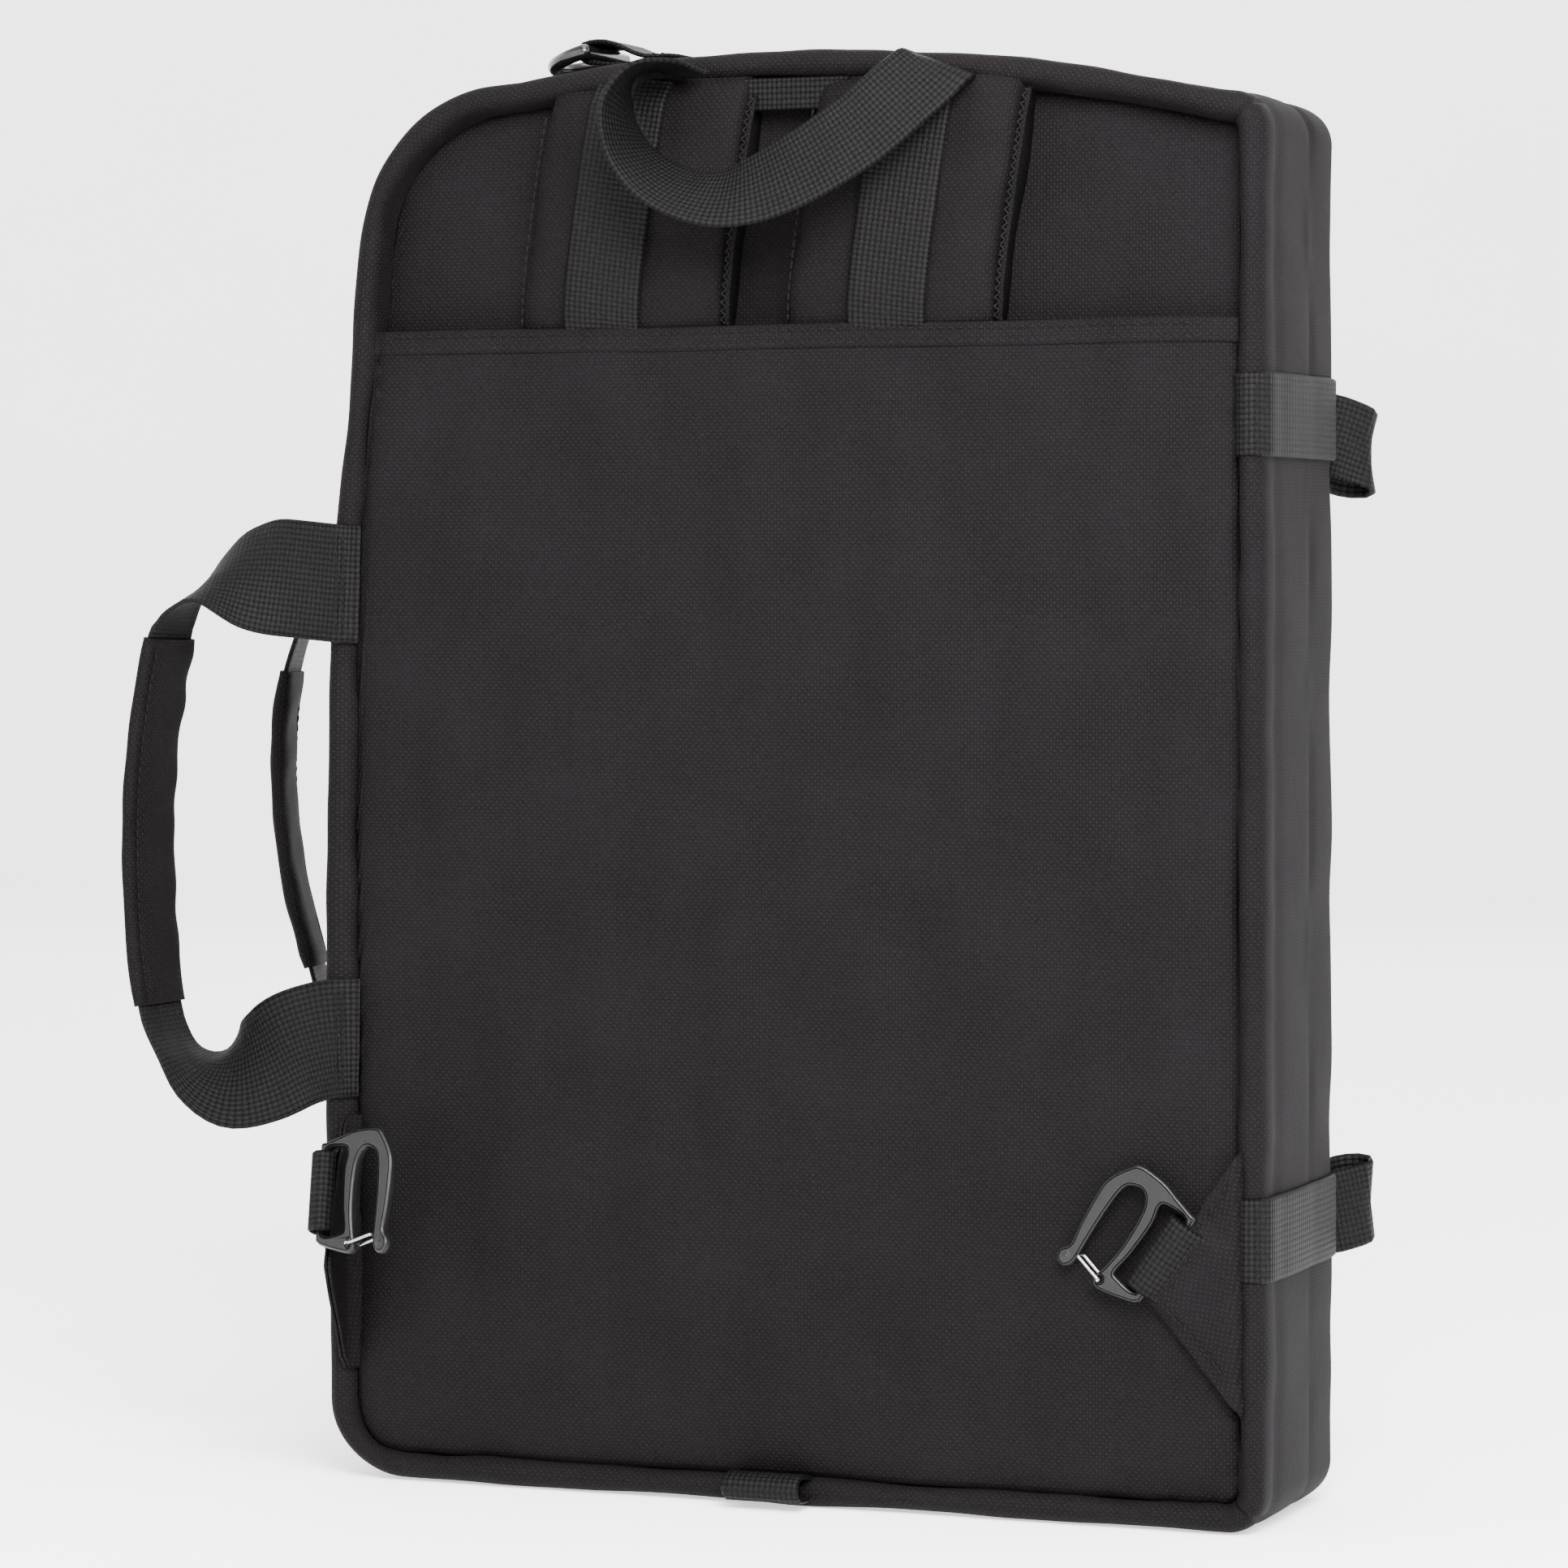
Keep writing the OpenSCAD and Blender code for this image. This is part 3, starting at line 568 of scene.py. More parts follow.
def bulge(index):
    """How far the soft handle side swells outwards at each station, at its fullest."""
    heights = [0, 30, 80, 130, 210, 286, 336, 380]
    swell = [0, 0.6, 2.0, 2.8, 2.2, 0.9, 0, 0]
    return np.interp(STATIONS[index, 1], heights, swell) * np.clip(INWARD[index, 0], 0, 1)


def sweep(index, profile, swell=True):
    """Grid of points of a profile of (inset, y) carried round the outline."""
    inset = np.broadcast_to(profile[:, 0], (len(index), len(profile))).copy()
    y = np.broadcast_to(profile[:, 1], inset.shape).copy()
    if swell:
        reach = smoothstep(SEAM_INSET - profile[:, 0], 0, 6.5)
        reach = reach * (1 - smoothstep(profile[:, 1], -26, 4))
        inset -= bulge(index)[:, None] * reach[None]
    x = STATIONS[index, 0][:, None] + INWARD[index, 0][:, None] * inset
    z = STATIONS[index, 1][:, None] + INWARD[index, 1][:, None] * inset
    return np.stack([x, y, z], -1)


def seam_loop(inset):
    return STATIONS + INWARD * inset


def seam_distance(x, z, inset=SEAM_INSET):
    """Distance of points from the seam round a face."""
    seam = seam_loop(inset)
    flat = np.c_[np.ravel(x), np.ravel(z)]
    best = np.full(len(flat), 1e9)
    for start in range(0, len(seam), 64):
        part = seam[start:start + 64]
        gap = np.linalg.norm(flat[:, None] - part[None], axis=2).min(1)
        best = np.minimum(best, gap)
    return best.reshape(np.shape(x))


def face_columns(x, inset):
    """Lowest and highest z inside the seam at each x."""
    seam = seam_loop(inset)
    below = seam[INWARD[:, 1] > 0.05]
    above = seam[INWARD[:, 1] < -0.05]
    below = below[np.argsort(below[:, 0])]
    above = above[np.argsort(above[:, 0])]
    return np.interp(x, below[:, 0], below[:, 1]), np.interp(x, above[:, 0], above[:, 1])


def face_grid(x_low, x_high, z_low, z_high, step=3.5, inset=SEAM_INSET):
    """Columns of x and z inside the seam, cut off at z_low and z_high."""
    half = (x_high - x_low) / 2
    count = int(2 * half / step)
    t = np.linspace(-1, 1, count)
    x = x_low + half * (1 + np.sin(t * math.pi / 2) * 0.25 + t * 0.75)
    low, high = face_columns(x, inset)
    low = np.maximum(low, z_low)
    high = np.maximum(np.minimum(high, z_high), low + 0.5)
    rows = int((z_high - z_low) / step)
    s = np.linspace(-1, 1, rows)
    s = (1 + np.sin(s * math.pi / 2) * 0.25 + s * 0.75) / 2
    z = low[:, None] + (high - low)[:, None] * s[None]
    x = np.broadcast_to(x[:, None], z.shape)
    return x, z


def add_panel(name, x, z, y, material, front=False):
    """Panel of cloth over x and z, facing -Y, or +Y with front."""
    grid = np.stack([x, y, z], -1)
    uv = np.stack([x, z], -1)
    return add_grid(name, grid, material, uv=uv, flip=not front)


# ---- shell of the case ------------------------------------------------------

BACK_PROFILE = spline([
    (SEAM_INSET + 0.6, BACK_Y + 11.0), (SEAM_INSET, BACK_Y + 5.5), (7.9, BACK_Y + 1.9),
    (6.2, BACK_Y - 0.3), (4.0, BACK_Y - 0.8), (1.8, BACK_Y + 0.5), (0.4, BACK_Y + 3.0),
    (0.0, BACK_Y + 6.5), (0.1, BACK_Y + 9.5), (0.3, BACK_Y + 12.0), (0.15, BACK_Y + 15.0),
    (-0.25, BACK_Y + 20), (-0.3, BACK_Y + 28), (-0.2, -2.0), (0.0, 5.0), (0.3, 9.4),
], 3)
SIDE_PROFILE = spline([
    (0.3, 9.4), (0.0, 15.0), (0.0, 23.0), (0.2, 30.0), (0.6, 34.5), (1.6, 37.2),
    (3.4, 38.6), (6.0, 38.7), (7.5, 38.2),
], 3)[1:]


def mitre_grooves(y):
    """Depth of the corner seams on the gusset side, where its panel meets the roll."""
    zr = crown(HALF_W - RADIUS_RIGHT) - RADIUS_RIGHT
    depth = np.zeros((len(STATIONS), len(y)))
    for angle, z in ((-45, RADIUS_RIGHT), (48, zr)):
        a = math.radians(angle)
        corner = np.array([HALF_W - RADIUS_RIGHT + RADIUS_RIGHT * math.cos(a),
                           z + RADIUS_RIGHT * math.sin(a)])
        near = np.argmin(np.linalg.norm(STATIONS - corner, axis=1))
        along = ALONG - ALONG[near]
        depth += 1.1 * np.exp(-(along / 0.9) ** 2)[:, None] * (1 - smoothstep(y, -31, -26))
    return depth


def make_shell():
    """Edge roll, zipped wall and side gusset as one skin."""
    profile = np.vstack([BACK_PROFILE, SIDE_PROFILE])
    index = np.arange(len(STATIONS))
    grid = sweep(index, profile)
    normals = grid_normals(grid, wrap_i=True)
    s = ALONG[:, None]
    across = lengths(np.c_[profile, np.zeros(len(profile))])[None]
    y = profile[:, 1][None]
    roll = 1 - smoothstep(y, -33, -28)
    wall = 1 - roll
    left = np.clip(INWARD[:, 0], 0, 1)[:, None]
    lift = 0.3 * waves(s, across * 0.6, 52, 3) + 0.14 * waves(s, across * 0.6, 19, 4)
    pucker = np.sin(s / 6.2 + 1.2 * waves(s, 0 * across, 60, 9)) * (0.25 + 0.3 * left)
    lift = lift + roll * pucker * np.exp(-((across - 6) / 7) ** 2)
    lift = lift + wall * left * 0.5 * waves(s * 0.6, across, 33, 6)
    rim = smoothstep(across, 0, 4)
    lift = lift * rim - mitre_grooves(profile[:, 1])
    first_zip_row = len(BACK_PROFILE) - 1
    lift = lift * (1 - np.exp(-((y - 9.4) / 3) ** 2))
    grid = grid + normals * lift[..., None]
    keep = np.ones((len(STATIONS), len(profile) - 1), bool)
    keep[SIDE_COUNT - 1:, first_zip_row:] = False
    shell = add_grid("case_shell", grid, CLOTH, wrap_i=True, keep=keep)
    thicken(shell, 1.1)
    return settle(shell, "shell_cloth", "case", "zip_gusset_back", "base_gusset", "back_edge_roll")


def make_welt(name, points, body):
    """Turned edge of cloth along the zip."""
    profile = spline(points, 3)
    welt = add_grid(name, sweep(ZIPPED, profile, swell=False), CLOTH)
    thicken(welt, 0.9)
    return settle(welt, "shell_cloth", body)


make_shell()
make_welt("zip_welt_back", [(0.3, 9.3), (0.25, 10.3), (1.0, 11.0), (2.4, 10.9), (3.0, 9.5),
                            (3.1, 6.0)], "case")


# ---- worn side --------------------------------------------------------------


def hollow_panel_y(x, z):
    """Face of the padded back panel, recessed behind the edge roll."""
    s = seam_distance(x, z)
    between_pads = np.exp(-((x + 10 - lean(z)) / 9) ** 2) * smoothstep(z, 340, 352)
    return (BACK_Y + 10.2 - 1.7 * (1 - np.exp(-s / 4.5)) - 0.5 * (1 - np.exp(-s / 40))
            + 1.6 * between_pads * smoothstep(s, 0, 25)
            + 0.22 * waves(x, z, 60, 21) * smoothstep(s, 0, 12))


def stow_y(x, z):
    """Face of the stow pocket's panel, drawn over the stowed straps."""
    s = seam_distance(x, z)
    y = BACK_Y + 3.8 - 3.7 * (1 - np.exp(-s / 3.2))
    y = y - 0.8 * (1 - (x / HALF_W) ** 2) * smoothstep(s, 0, 60)
    soft = smoothstep(s, 0, 26)
    y = y + soft * (0.6 * waves(x * 1.9, z * 0.55, 60, 31) + 0.28 * waves(x, z, 34, 32))
    left = smoothstep(-x, 60, 143)
    right = smoothstep(x, 90, 143)
    fold = np.sin(z / 8.5 + 1.6 * waves(z, 0 * z, 70, 35)) * (0.75 * left + 0.4 * right)
    low = 0.5 * (1 - smoothstep(z, 15, 60))
    fold = fold + np.sin(x / 9.5 + 1.5 * waves(x, 0 * x, 80, 38)) * low
    y = y + fold * np.exp(-s / 11) * smoothstep(s, 0, 3)
    diagonal = np.exp(-(((x + 128) * 0.7 + (z - 128) * 0.7) / 9) ** 2)
    diagonal = diagonal * np.exp(-(((x + 112) - (z - 112)) / 60) ** 2)
    return y - 0.7 * diagonal * soft


def make_back_panel():
    x, z = face_grid(-HALF_W + SEAM_INSET, HALF_W - SEAM_INSET, 296, CASE_H)
    panel = add_panel("back_panel_padded", x, z, hollow_panel_y(x, z), CLOTH)
    thicken(panel, 1.2)
    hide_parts("back_panel", "back_foam", "back_board")
    return settle(panel, "shell_cloth", "case")


def make_stow_pocket():
    """Panel drawn over the stowed straps, with a folded and twice-sewn hem."""
    x, z = face_grid(-HALF_W + SEAM_INSET, HALF_W - SEAM_INSET, 0, HEM_HIGH - 2, step=3.0)
    panel = add_panel("stow_pocket_cloth", x, z, stow_y(x, z), CLOTH)
    thicken(panel, 0.9)
    settle(panel, "shell_cloth", "case", "stow_pocket_panel")
    middle = (HEM_LOW + HEM_HIGH) / 2
    hem_start = -HALF_W + SEAM_INSET + (middle - LEAN_Z) * math.tan(SIDE_LEAN)
    hem_x = np.linspace(hem_start, HALF_W - SEAM_INSET, 70)
    hem_y = stow_y(hem_x, 0 * hem_x + middle) + 0.15
    hem_z = middle + 0.5 * waves(hem_x, 0 * hem_x, 120, 37)
    zero, one = 0 * hem_x, 0 * hem_x + 1
    hem = ribbon("stow_pocket_fold", np.c_[hem_x, hem_y, hem_z, zero, 0.06 * one, one],
                 HEM_HIGH - HEM_LOW + 0.6, CLOTH, thickness=1.2, steps=2, crown=0.1)
    settle(hem, "shell_cloth", "case", "stow_pocket_hem")
    rows = [(np.c_[hem_x[2:-2], hem_y[2:-2] - 0.75, hem_z[2:-2] + dz], (0, -1, 0))
            for dz in (-2.1, 1.9)]
    thread = stitches("stow_pocket_stitching", rows, THREAD, pitch=3.2)
    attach(thread, "case")


PAD_W = 70.0
PAD_TOP = 434.0
PAD_ROOT = 300.0
PAD_LEAN = 11 / 72
PAD_BACK_Y = BACK_Y + 8.3
WEB_SEAM = 14.0


def lean(z):
    return PAD_LEAN * np.maximum(0, z - HEM_HIGH)


def pad_face_y(z):
    """How far a shoulder pad's face stands out along its height."""
    heights = [PAD_ROOT, 344, 353, 360, 368, 380, 400, 418, 427, 431, PAD_TOP]
    proud = [2.6, 2.4, 1.9, -0.6, -3.0, -4.2, -4.7, -4.3, -3.0, -1.2, 2.4]
    return BACK_Y + np.interp(z, heights, proud)


def pad_section():
    """Closed section of a pad as x and a share of its depth: crowned face, thin folded
    edge on the left and full seamed edge on the right."""
    t = np.linspace(0, 1, 25)
    edge = 1 - np.abs(2 * t - 1) ** 7
    crowned = (0.62 + 0.38 * edge) * np.where(t > 0.5, 1.0, 0.86)
    x = PAD_W * (t - 0.5)
    face = np.c_[x, crowned * np.clip(edge * 3, 0, 1) ** 0.5]
    back = np.c_[x[::-1][1:-1], np.zeros(23)]
    return np.vstack([face, back])


def pad_grid(middle, web_middle, seed):
    """Rings of points round a shoulder pad, drawn in where its webbing is sewn on."""
    section = pad_section()
    from_web = section[:, 0] - (web_middle - middle)
    groove = sum(np.exp(-((from_web + seam) / 3.0) ** 2) for seam in (-WEB_SEAM, WEB_SEAM))
    rows = []
    for z in (*np.arange(PAD_ROOT, 350, 5.0), *np.arange(350, PAD_TOP + 0.1, 2.0)):
        x = middle + lean(z) + section[:, 0]
        x = x + 0.5 * np.sin(z / 7 + section[:, 0] * 0.01) * (section[:, 0] / 35)
        y = PAD_BACK_Y - (PAD_BACK_Y - pad_face_y(z)) * section[:, 1]
        y = y + 0.6 * groove * (section[:, 1] > 0.1)
        rows.append(np.c_[x, y, 0 * x + z])
    grid = np.array(rows)
    bump = 0.35 * waves(grid[..., 0], grid[..., 2], 24, seed)
    grid[..., 1] += bump * (grid[..., 1] < PAD_BACK_Y - 1)
    return grid


def make_pad(side, middle, web_middle, seed):
    """Shoulder pad with the strap's webbing down its face."""
    pad = add_grid(f"shoulder_pad_{side}", pad_grid(middle, web_middle, seed), PAD_CLOTH,
                   wrap_j=True, caps=True, flip=True)
    settle(pad, "shell_cloth", "case", f"strap_pad_{side}")
    z = np.append(np.arange(PAD_ROOT, 430, 6.0), 433.0)
    zero = 0 * z
    rows = np.c_[web_middle + lean(z), pad_face_y(z) - 0.75, z, zero + 1, zero, zero]
    band = ribbon(f"shoulder_webbing_{side}", rows, WEB_W, WEBBING, steps=4)
    settle(band, "webbing", "case", f"strap_webbing_{side}")
    make_pad_edges(side, middle)


def make_pad_edges(side, middle):
    """Overlocked and corded edge on the pad's right, and the row of stitches that
    holds its folded edge."""
    z = np.arange(HEM_HIGH + 1, 428, 1.3)
    x = middle + PAD_W / 2 + lean(z)
    zig = np.where(np.arange(len(z)) % 2 == 0, 0.5, -1.5)
    serge = np.c_[x + zig, pad_face_y(z) + 1.7 - 0.5 * np.abs(zig), z]
    thread = stitches(f"shoulder_pad_serging_{side}", [(serge, (0.35, -0.9, 0))], THREAD,
                      pitch=1.25, length=1.6, radius=0.26)
    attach(thread, "case")
    cord = np.c_[x + 0.1, pad_face_y(z) + 2.6, z]
    edge = tube(f"shoulder_pad_edge_{side}", cord, 0.9, PAD_CLOTH, 8)
    settle(edge, "shell_cloth", "case")
    z = np.arange(HEM_HIGH + 1, 426, 3.0)
    line = np.c_[middle - 32.5 + lean(z), pad_face_y(z) + 1.55, z]
    fold = stitches(f"shoulder_pad_stitching_{side}", [(line, (0, -1, 0))], THREAD)
    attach(fold, "case")


def make_anchor_band():
    x = np.linspace(-22, 22, 8)
    zero = 0 * x
    band = ribbon("shoulder_anchor_webbing",
                  np.c_[x, zero + BACK_Y + 1.6, zero + 427.5, zero, zero, zero + 1],
                  10.0, WEBBING, steps=3)
    settle(band, "webbing", "case", "strap_anchor_band")


make_back_panel()
make_stow_pocket()
make_pad("left", -54.0, -59.0, 41)
make_pad("right", 34.0, 34.0, 42)
make_anchor_band()


# ---- webbing on the case ----------------------------------------------------


def add_band(name, stations, width, body, replaced=(), **options):
    """Webbing that rides a body, in place of the CAD nodes in replaced, if any."""
    band = ribbon(name, stations, width, WEBBING, **options)
    return settle(band, "webbing", body, *replaced)


def make_grab_loop():
    stations = [
        (51, -38.0, 435, 0.93, 0.0, -0.36),
        (51, -44.5, 433.5, 0.94, 0.0, -0.34),
        (42, -50.5, 424.5, 0.85, -0.08, -0.52),
        (29, -55, 413, 0.76, -0.16, -0.64),
        (8, -59, 400.5, 0.60, -0.33, -0.73),
        (-11, -60, 395, 0.26, -0.64, -0.73),
        (-29, -59.5, 399, -0.12, -0.86, -0.52),
        (-41.5, -59, 410, -0.1, -0.95, -0.3),
        (-45.5, -58, 422, -0.04, -1.0, -0.1),
        (-42.5, -54.5, 432.5, 0.2, -0.97, 0.0),
        (-36, -47.5, 436.5, 0.6, -0.8, 0.0),
        (-32, -40, 434.0, 0.9, -0.43, 0.0),
    ]
    loop = ribbon("grab_loop_webbing", stations, WEB_W, WEBBING, ripple=0.08)
    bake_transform(loop)
    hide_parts("grab_loop")


def side_path(profile_part, lift, z):
    """Points along the gusset side's skin at height z, standing `lift` off it."""
    part = np.array(profile_part, float)
    path = np.c_[HALF_W - part[:, 0], part[:, 1]]
    turn = unit(np.gradient(path, axis=0))
    out = np.c_[turn[:, 1], -turn[:, 0]]
    path = path + out * lift
    zero = 0 * path[:, 0]
    return np.c_[path, zero + z, zero, zero, zero + 1]


def make_side_bands():
    whole = np.vstack([BACK_PROFILE[2:], SIDE_PROFILE])
    for place, z in (("upper", 329.0), ("lower", 86.5)):
        part = resample(whole[:-10], 3.0)
        smoothed = part.copy()
        smoothed[1:-1] = (part[:-2] + part[1:-1] * 2 + part[2:]) / 4
        add_band(f"side_band_{place}", side_path(smoothed, 1.0, z), WEB_W, "case", steps=2,
                 replaced=("side_bands",) if place == "upper" else ())
        middle = np.array(side_path(smoothed[4:6], 1.8, z))[0]
        rows = [(np.c_[[middle[0]] * 2, [middle[1]] * 2, [z - 11, z + 11]],
                 (0.7, -0.7, 0))]
        thread = stitches(f"side_band_stitching_{place}", rows, THREAD, pitch=2.6, length=2.1)
        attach(thread, "case")


def make_front_loops():
    plan = [(139.9, 38.9), (139.95, 45.5), (143, 52), (147, 57), (151.2, 59.4), (155.4, 59.2),
            (157.6, 56), (156.4, 52.4), (150.6, 47.0), (145.2, 43.8), (144.6, 38.9)]
    for place, z, droop in (("upper", 326.5, -9.0), ("lower", 84.5, 6.0)):
        rows = [(x, y, z + droop * max(0.0, (y - 42) / 18), 0, 0.0, 1) for x, y in plan]
        add_band(f"front_loop_{place}", rows, WEB_W, "front_cover", steps=6,
                 replaced=("front_loops",) if place == "upper" else ())


def make_pull_tab():
    plan = [(-37.5, 8.4), (-41, 9.4), (-45.5, 10.0), (-49.6, 8.6), (-50.2, 5.6),
            (-47.5, 2.9), (-43, 2.4), (-37.5, 2.8)]
    rows = [(-2.5, y, z, 1, 0, 0) for y, z in plan]
    add_band("bottom_pull_webbing", rows, WEB_W, "case", replaced=("bottom_pull_tab",), steps=5)


def make_ring_tab():
    x0, y0, z0 = -70.0, -12.0, 443.5
    r = 3.15
    around = [(x0 + r * math.cos(a), z0 + r * math.sin(a))
              for a in np.radians([-70, -110, -150, -190, -230, -265])]
    under = [(-38, crown(38) + 0.6), (-52, crown(52) + 1.0), (-62, crown(60) + 1.6)]
    over = [(-63, z0 + 3.0), (-52, crown(52) + 3.3), (-42, crown(42) + 2.2),
            (-33, crown(33) - 0.2)]
    rows = [(x, y0, z, 0, 1, 0) for x, z in under + around + over]
    add_band("top_ring_webbing", rows, WEB_W, "case", replaced=("top_ring_tab",), steps=4)
    rows = [(np.array([(-x, y0 - 11, crown(x) + rise), (-x, y0 + 11, crown(x) + rise)]),
             (0, 0, 1)) for x, rise in ((49.0, 3.75), (46.0, 3.4))]
    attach(stitches("top_ring_stitching", rows, THREAD, pitch=2.6, length=2.1), "case")


make_grab_loop()
make_side_bands()
make_front_loops()
make_pull_tab()
make_ring_tab()


# ---- side handles -----------------------------------------------------------

GRIP_W = 25.0
GRIP_T = 6.0
HANDLE_HIGH_Z = 279.0
HANDLE_LOW_Z = 137.0


def sleeve(name, stations, width, depth, seed):
    """Cloth grip folded round the webbing: one sewn edge, one scrunched edge."""
    rows = resample(spline(stations, 8), 2.0)
    path, across = rows[:, :3], rows[:, 3:6]
    across, face = section_frames(path, across)
    s = lengths(path)
    a = np.linspace(-math.pi, math.pi, 37)[:-1]
    flat = np.sign(np.cos(a)) * np.abs(np.cos(a)) ** 0.45 * width / 2
    thick = np.sign(np.sin(a)) * np.abs(np.sin(a)) ** 0.7 * depth / 2
    scrunch = np.clip(-np.cos(a), 0, 1) ** 2
    edge = 0.55 * waves(s[:, None], 0 * a[None], 13, seed) * scrunch[None]
    puff = 1 + 0.1 * waves(s[:, None], flat[None], 17, seed + 1)
    hem = np.exp(-((flat - width / 2 + 3.6) / 1.6) ** 2) * 0.35
    end = 0.82 + 0.18 * (smoothstep(s, 0, 5) * (1 - smoothstep(s, s[-1] - 5, s[-1])))[:, None]
    grid = (path[:, None]
            + across[:, None] * (flat[None] + edge)[..., None]
            + face[:, None] * (thick[None] * puff * (1 - hem[None]) * end)[..., None])
    grip = add_grid(name, grid, PAD_CLOTH, wrap_j=True, caps=True)
    line = path + across * (width / 2 - 3.6)
    rows = [(line[2:-2] + face[2:-2] * depth * 0.36, face[2:-2]),
            (line[2:-2] - face[2:-2] * depth * 0.36, -face[2:-2])]
    thread = stitches(name + "_stitching", rows, THREAD, pitch=3.3)
    return grip, thread


def gathered(leg):
    """Adds to each station the webbing's width, gathered in as it turns to the grip."""
    turned = [min(1.0, max(0.0, abs(row[4]) / math.hypot(*row[3:6]) - 0.5) / 0.5)
              for row in leg]
    return [(*row, HANDLE_WEB_W + (GRIP_W - 2.5 - HANDLE_WEB_W) * k)
            for row, k in zip(leg, turned)]


def make_handle(side, legs_top, grip, legs_low, fold_y, seed):
    body, anchors = f"{side}_handle", f"{side}_handle_anchors"
    host = "case" if side == "back" else "front_cover"
    stations = gathered(legs_top) + [(*row, GRIP_W - 2.5) for row in grip] + gathered(legs_low)
    band = ribbon(f"{side}_handle_strap", stations, HANDLE_WEB_W, WEBBING,
                  ripple=0.1, seed=seed)
    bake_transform(band)
    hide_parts(f"{side}_handle_webbing", anchors)
    turned = -1 if side == "back" else 1
    facing = [(*row[:3], *(turned * k for k in row[3:])) for row in grip]
    sleeve_piece, thread = sleeve(f"{side}_handle_sleeve", facing, GRIP_W, GRIP_T, seed)
    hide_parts(f"{side}_handle_grip")
    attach(sleeve_piece, body)
    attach(thread, body)
    out = -1 if side == "back" else 1
    rows = []
    for z in (HANDLE_HIGH_Z, HANDLE_LOW_Z):
        for x in (-145.6, -147.8):
            rows.append((np.array([(x, fold_y + out * 1.2, z - 16),
                                   (x, fold_y + out * 1.2, z + 16)]), (0, out, 0)))
    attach(stitches(f"{side}_handle_tacking", rows, THREAD, pitch=2.4, length=2.0), host)


def make_handles():
    b = BACK_Y - 1.9
    near = (0.136, 0.99, 0.0)
    make_handle(
        "back",
        [(-142.5, b + 3.6, 278.6, 0, 0, 1), (-146, b, 278.8, 0, 0, 1),
         (-153, b, 279.4, 0, 0, 1), (-163, b, 280.4, 0, 0.05, 1),
         (-173, b - 0.5, 281.2, 0.05, 0.28, 0.96), (-184, b - 0.4, 281.2, 0.1, 0.6, 0.79),
         (-194, b, 278.4, 0.08, 0.86, 0.5), (-201.5, b + 0.6, 272.2, 0.08, 0.97, 0.24),
         (-205.4, b + 0.9, 266.4, 0.12, 0.99, 0.08)],
        [(-207.6, b + 1, 261.5, *near), (-211.6, b + 1, 240, *near),
         (-214.6, b + 1, 215, *near), (-215.0, b + 1, 190, *near),
         (-213.6, b + 1, 165, *near), (-211.0, b + 1, 146, *near)],
        [(-208.2, b + 0.8, 137.5, 0.12, 0.99, 0.0), (-202.5, b + 0.4, 129.4, 0.0, 0.95, 0.25),
         (-194, b, 124.2, -0.05, 0.8, 0.6), (-184, b, 123.6, -0.05, 0.52, 0.85),
         (-173, b, 127.6, 0, 0.2, 0.98), (-163, b, 133.0, 0, 0, 1),
         (-153, b, 136.2, 0, 0, 1), (-146, b, 137, 0, 0, 1), (-142.5, b + 3.6, 137, 0, 0, 1)],
        b, 51)
    f = FRONT_Y + 1.5
    near = (-0.26, 0.966, 0.0)
    make_handle(
        "front",
        [(-142.5, f - 3.6, 279, 0, 0, 1), (-146, f, 279, 0, 0, 1), (-153, f, 279, 0, 0, 1),
         (-163, f - 1.6, 279.6, 0, 0.1, 1), (-173, f - 4.5, 279, -0.05, 0.4, 0.9),
         (-184, f - 8, 275, -0.15, 0.8, 0.55), (-192, f - 10.8, 268, -0.22, 0.95, 0.2)],
        [(-197.8, f - 12.6, 250, *near), (-199.8, f - 13.2, 235, *near),
         (-200.2, f - 13.4, 210, *near), (-197, f - 12.4, 182, *near),
         (-190, f - 10.6, 154, *near)],
        [(-185.5, f - 9.4, 143.5, -0.2, 0.95, 0.15), (-178.5, f - 6.6, 135.5, -0.1, 0.75, 0.6),
         (-170, f - 3.4, 132.6, 0, 0.3, 0.95), (-161, f - 1.0, 134.6, 0, 0.05, 1),
         (-153, f, 136.6, 0, 0, 1), (-146, f, 137, 0, 0, 1), (-142.5, f - 3.6, 137, 0, 0, 1)],
        f, 52)


make_handles()


# ---- hooks and their tabs ---------------------------------------------------

TAB_SEAM_X = 145.5
TAB_Y = BACK_Y - 1.7
BAR_IN, BAR_OFF = 21.9, 2.6
HOOK_T = 3.4
TAB_RAISE = 75.0
HOOK_OUTER = [
    (0, -15.6), (1.2, -16.6), (7.7, -18.8), (12.8, -19.8), (14.8, -17.6), (13.9, -13),
    (13.1, -6), (13.2, 2), (14.2, 9), (16.5, 12.3), (19.5, 12.3), (22.2, 9.7), (22.8, 2),
    (22.6, -8), (22.2, -15.5), (22.5, -18.4), (24.2, -20.6), (26.4, -20.5), (27.9, -18.6),
    (27.8, -16.4), (26.2, -13.6), (27.2, -7), (28, 2), (27.8, 9), (24.4, 15.6), (21.3, 18.3),
    (13.3, 18.5), (1.2, 15.7), (0, 15.6), (-0.9, 14.6), (-0.9, -14.6),
]
HOOK_SLOT = [
    (1.9, -13.4), (8.9, -13.4), (10.4, -12), (9.4, -5), (9.1, 6), (10.2, 11.4), (8.9, 13.4),
    (1.9, 13.4),
]


def turn(axis, degrees):
    return Matrix.Rotation(math.radians(degrees), 4, axis)


def shift(x, y, z):
    return Matrix.Translation(Vector((x, y, z)) * MM)


MIRROR_X = Matrix.Diagonal((-1, 1, 1, 1))


def bar_frame(height, tilt):
    return shift(-BAR_IN, -BAR_OFF, height) @ turn("Y", tilt) @ MIRROR_X


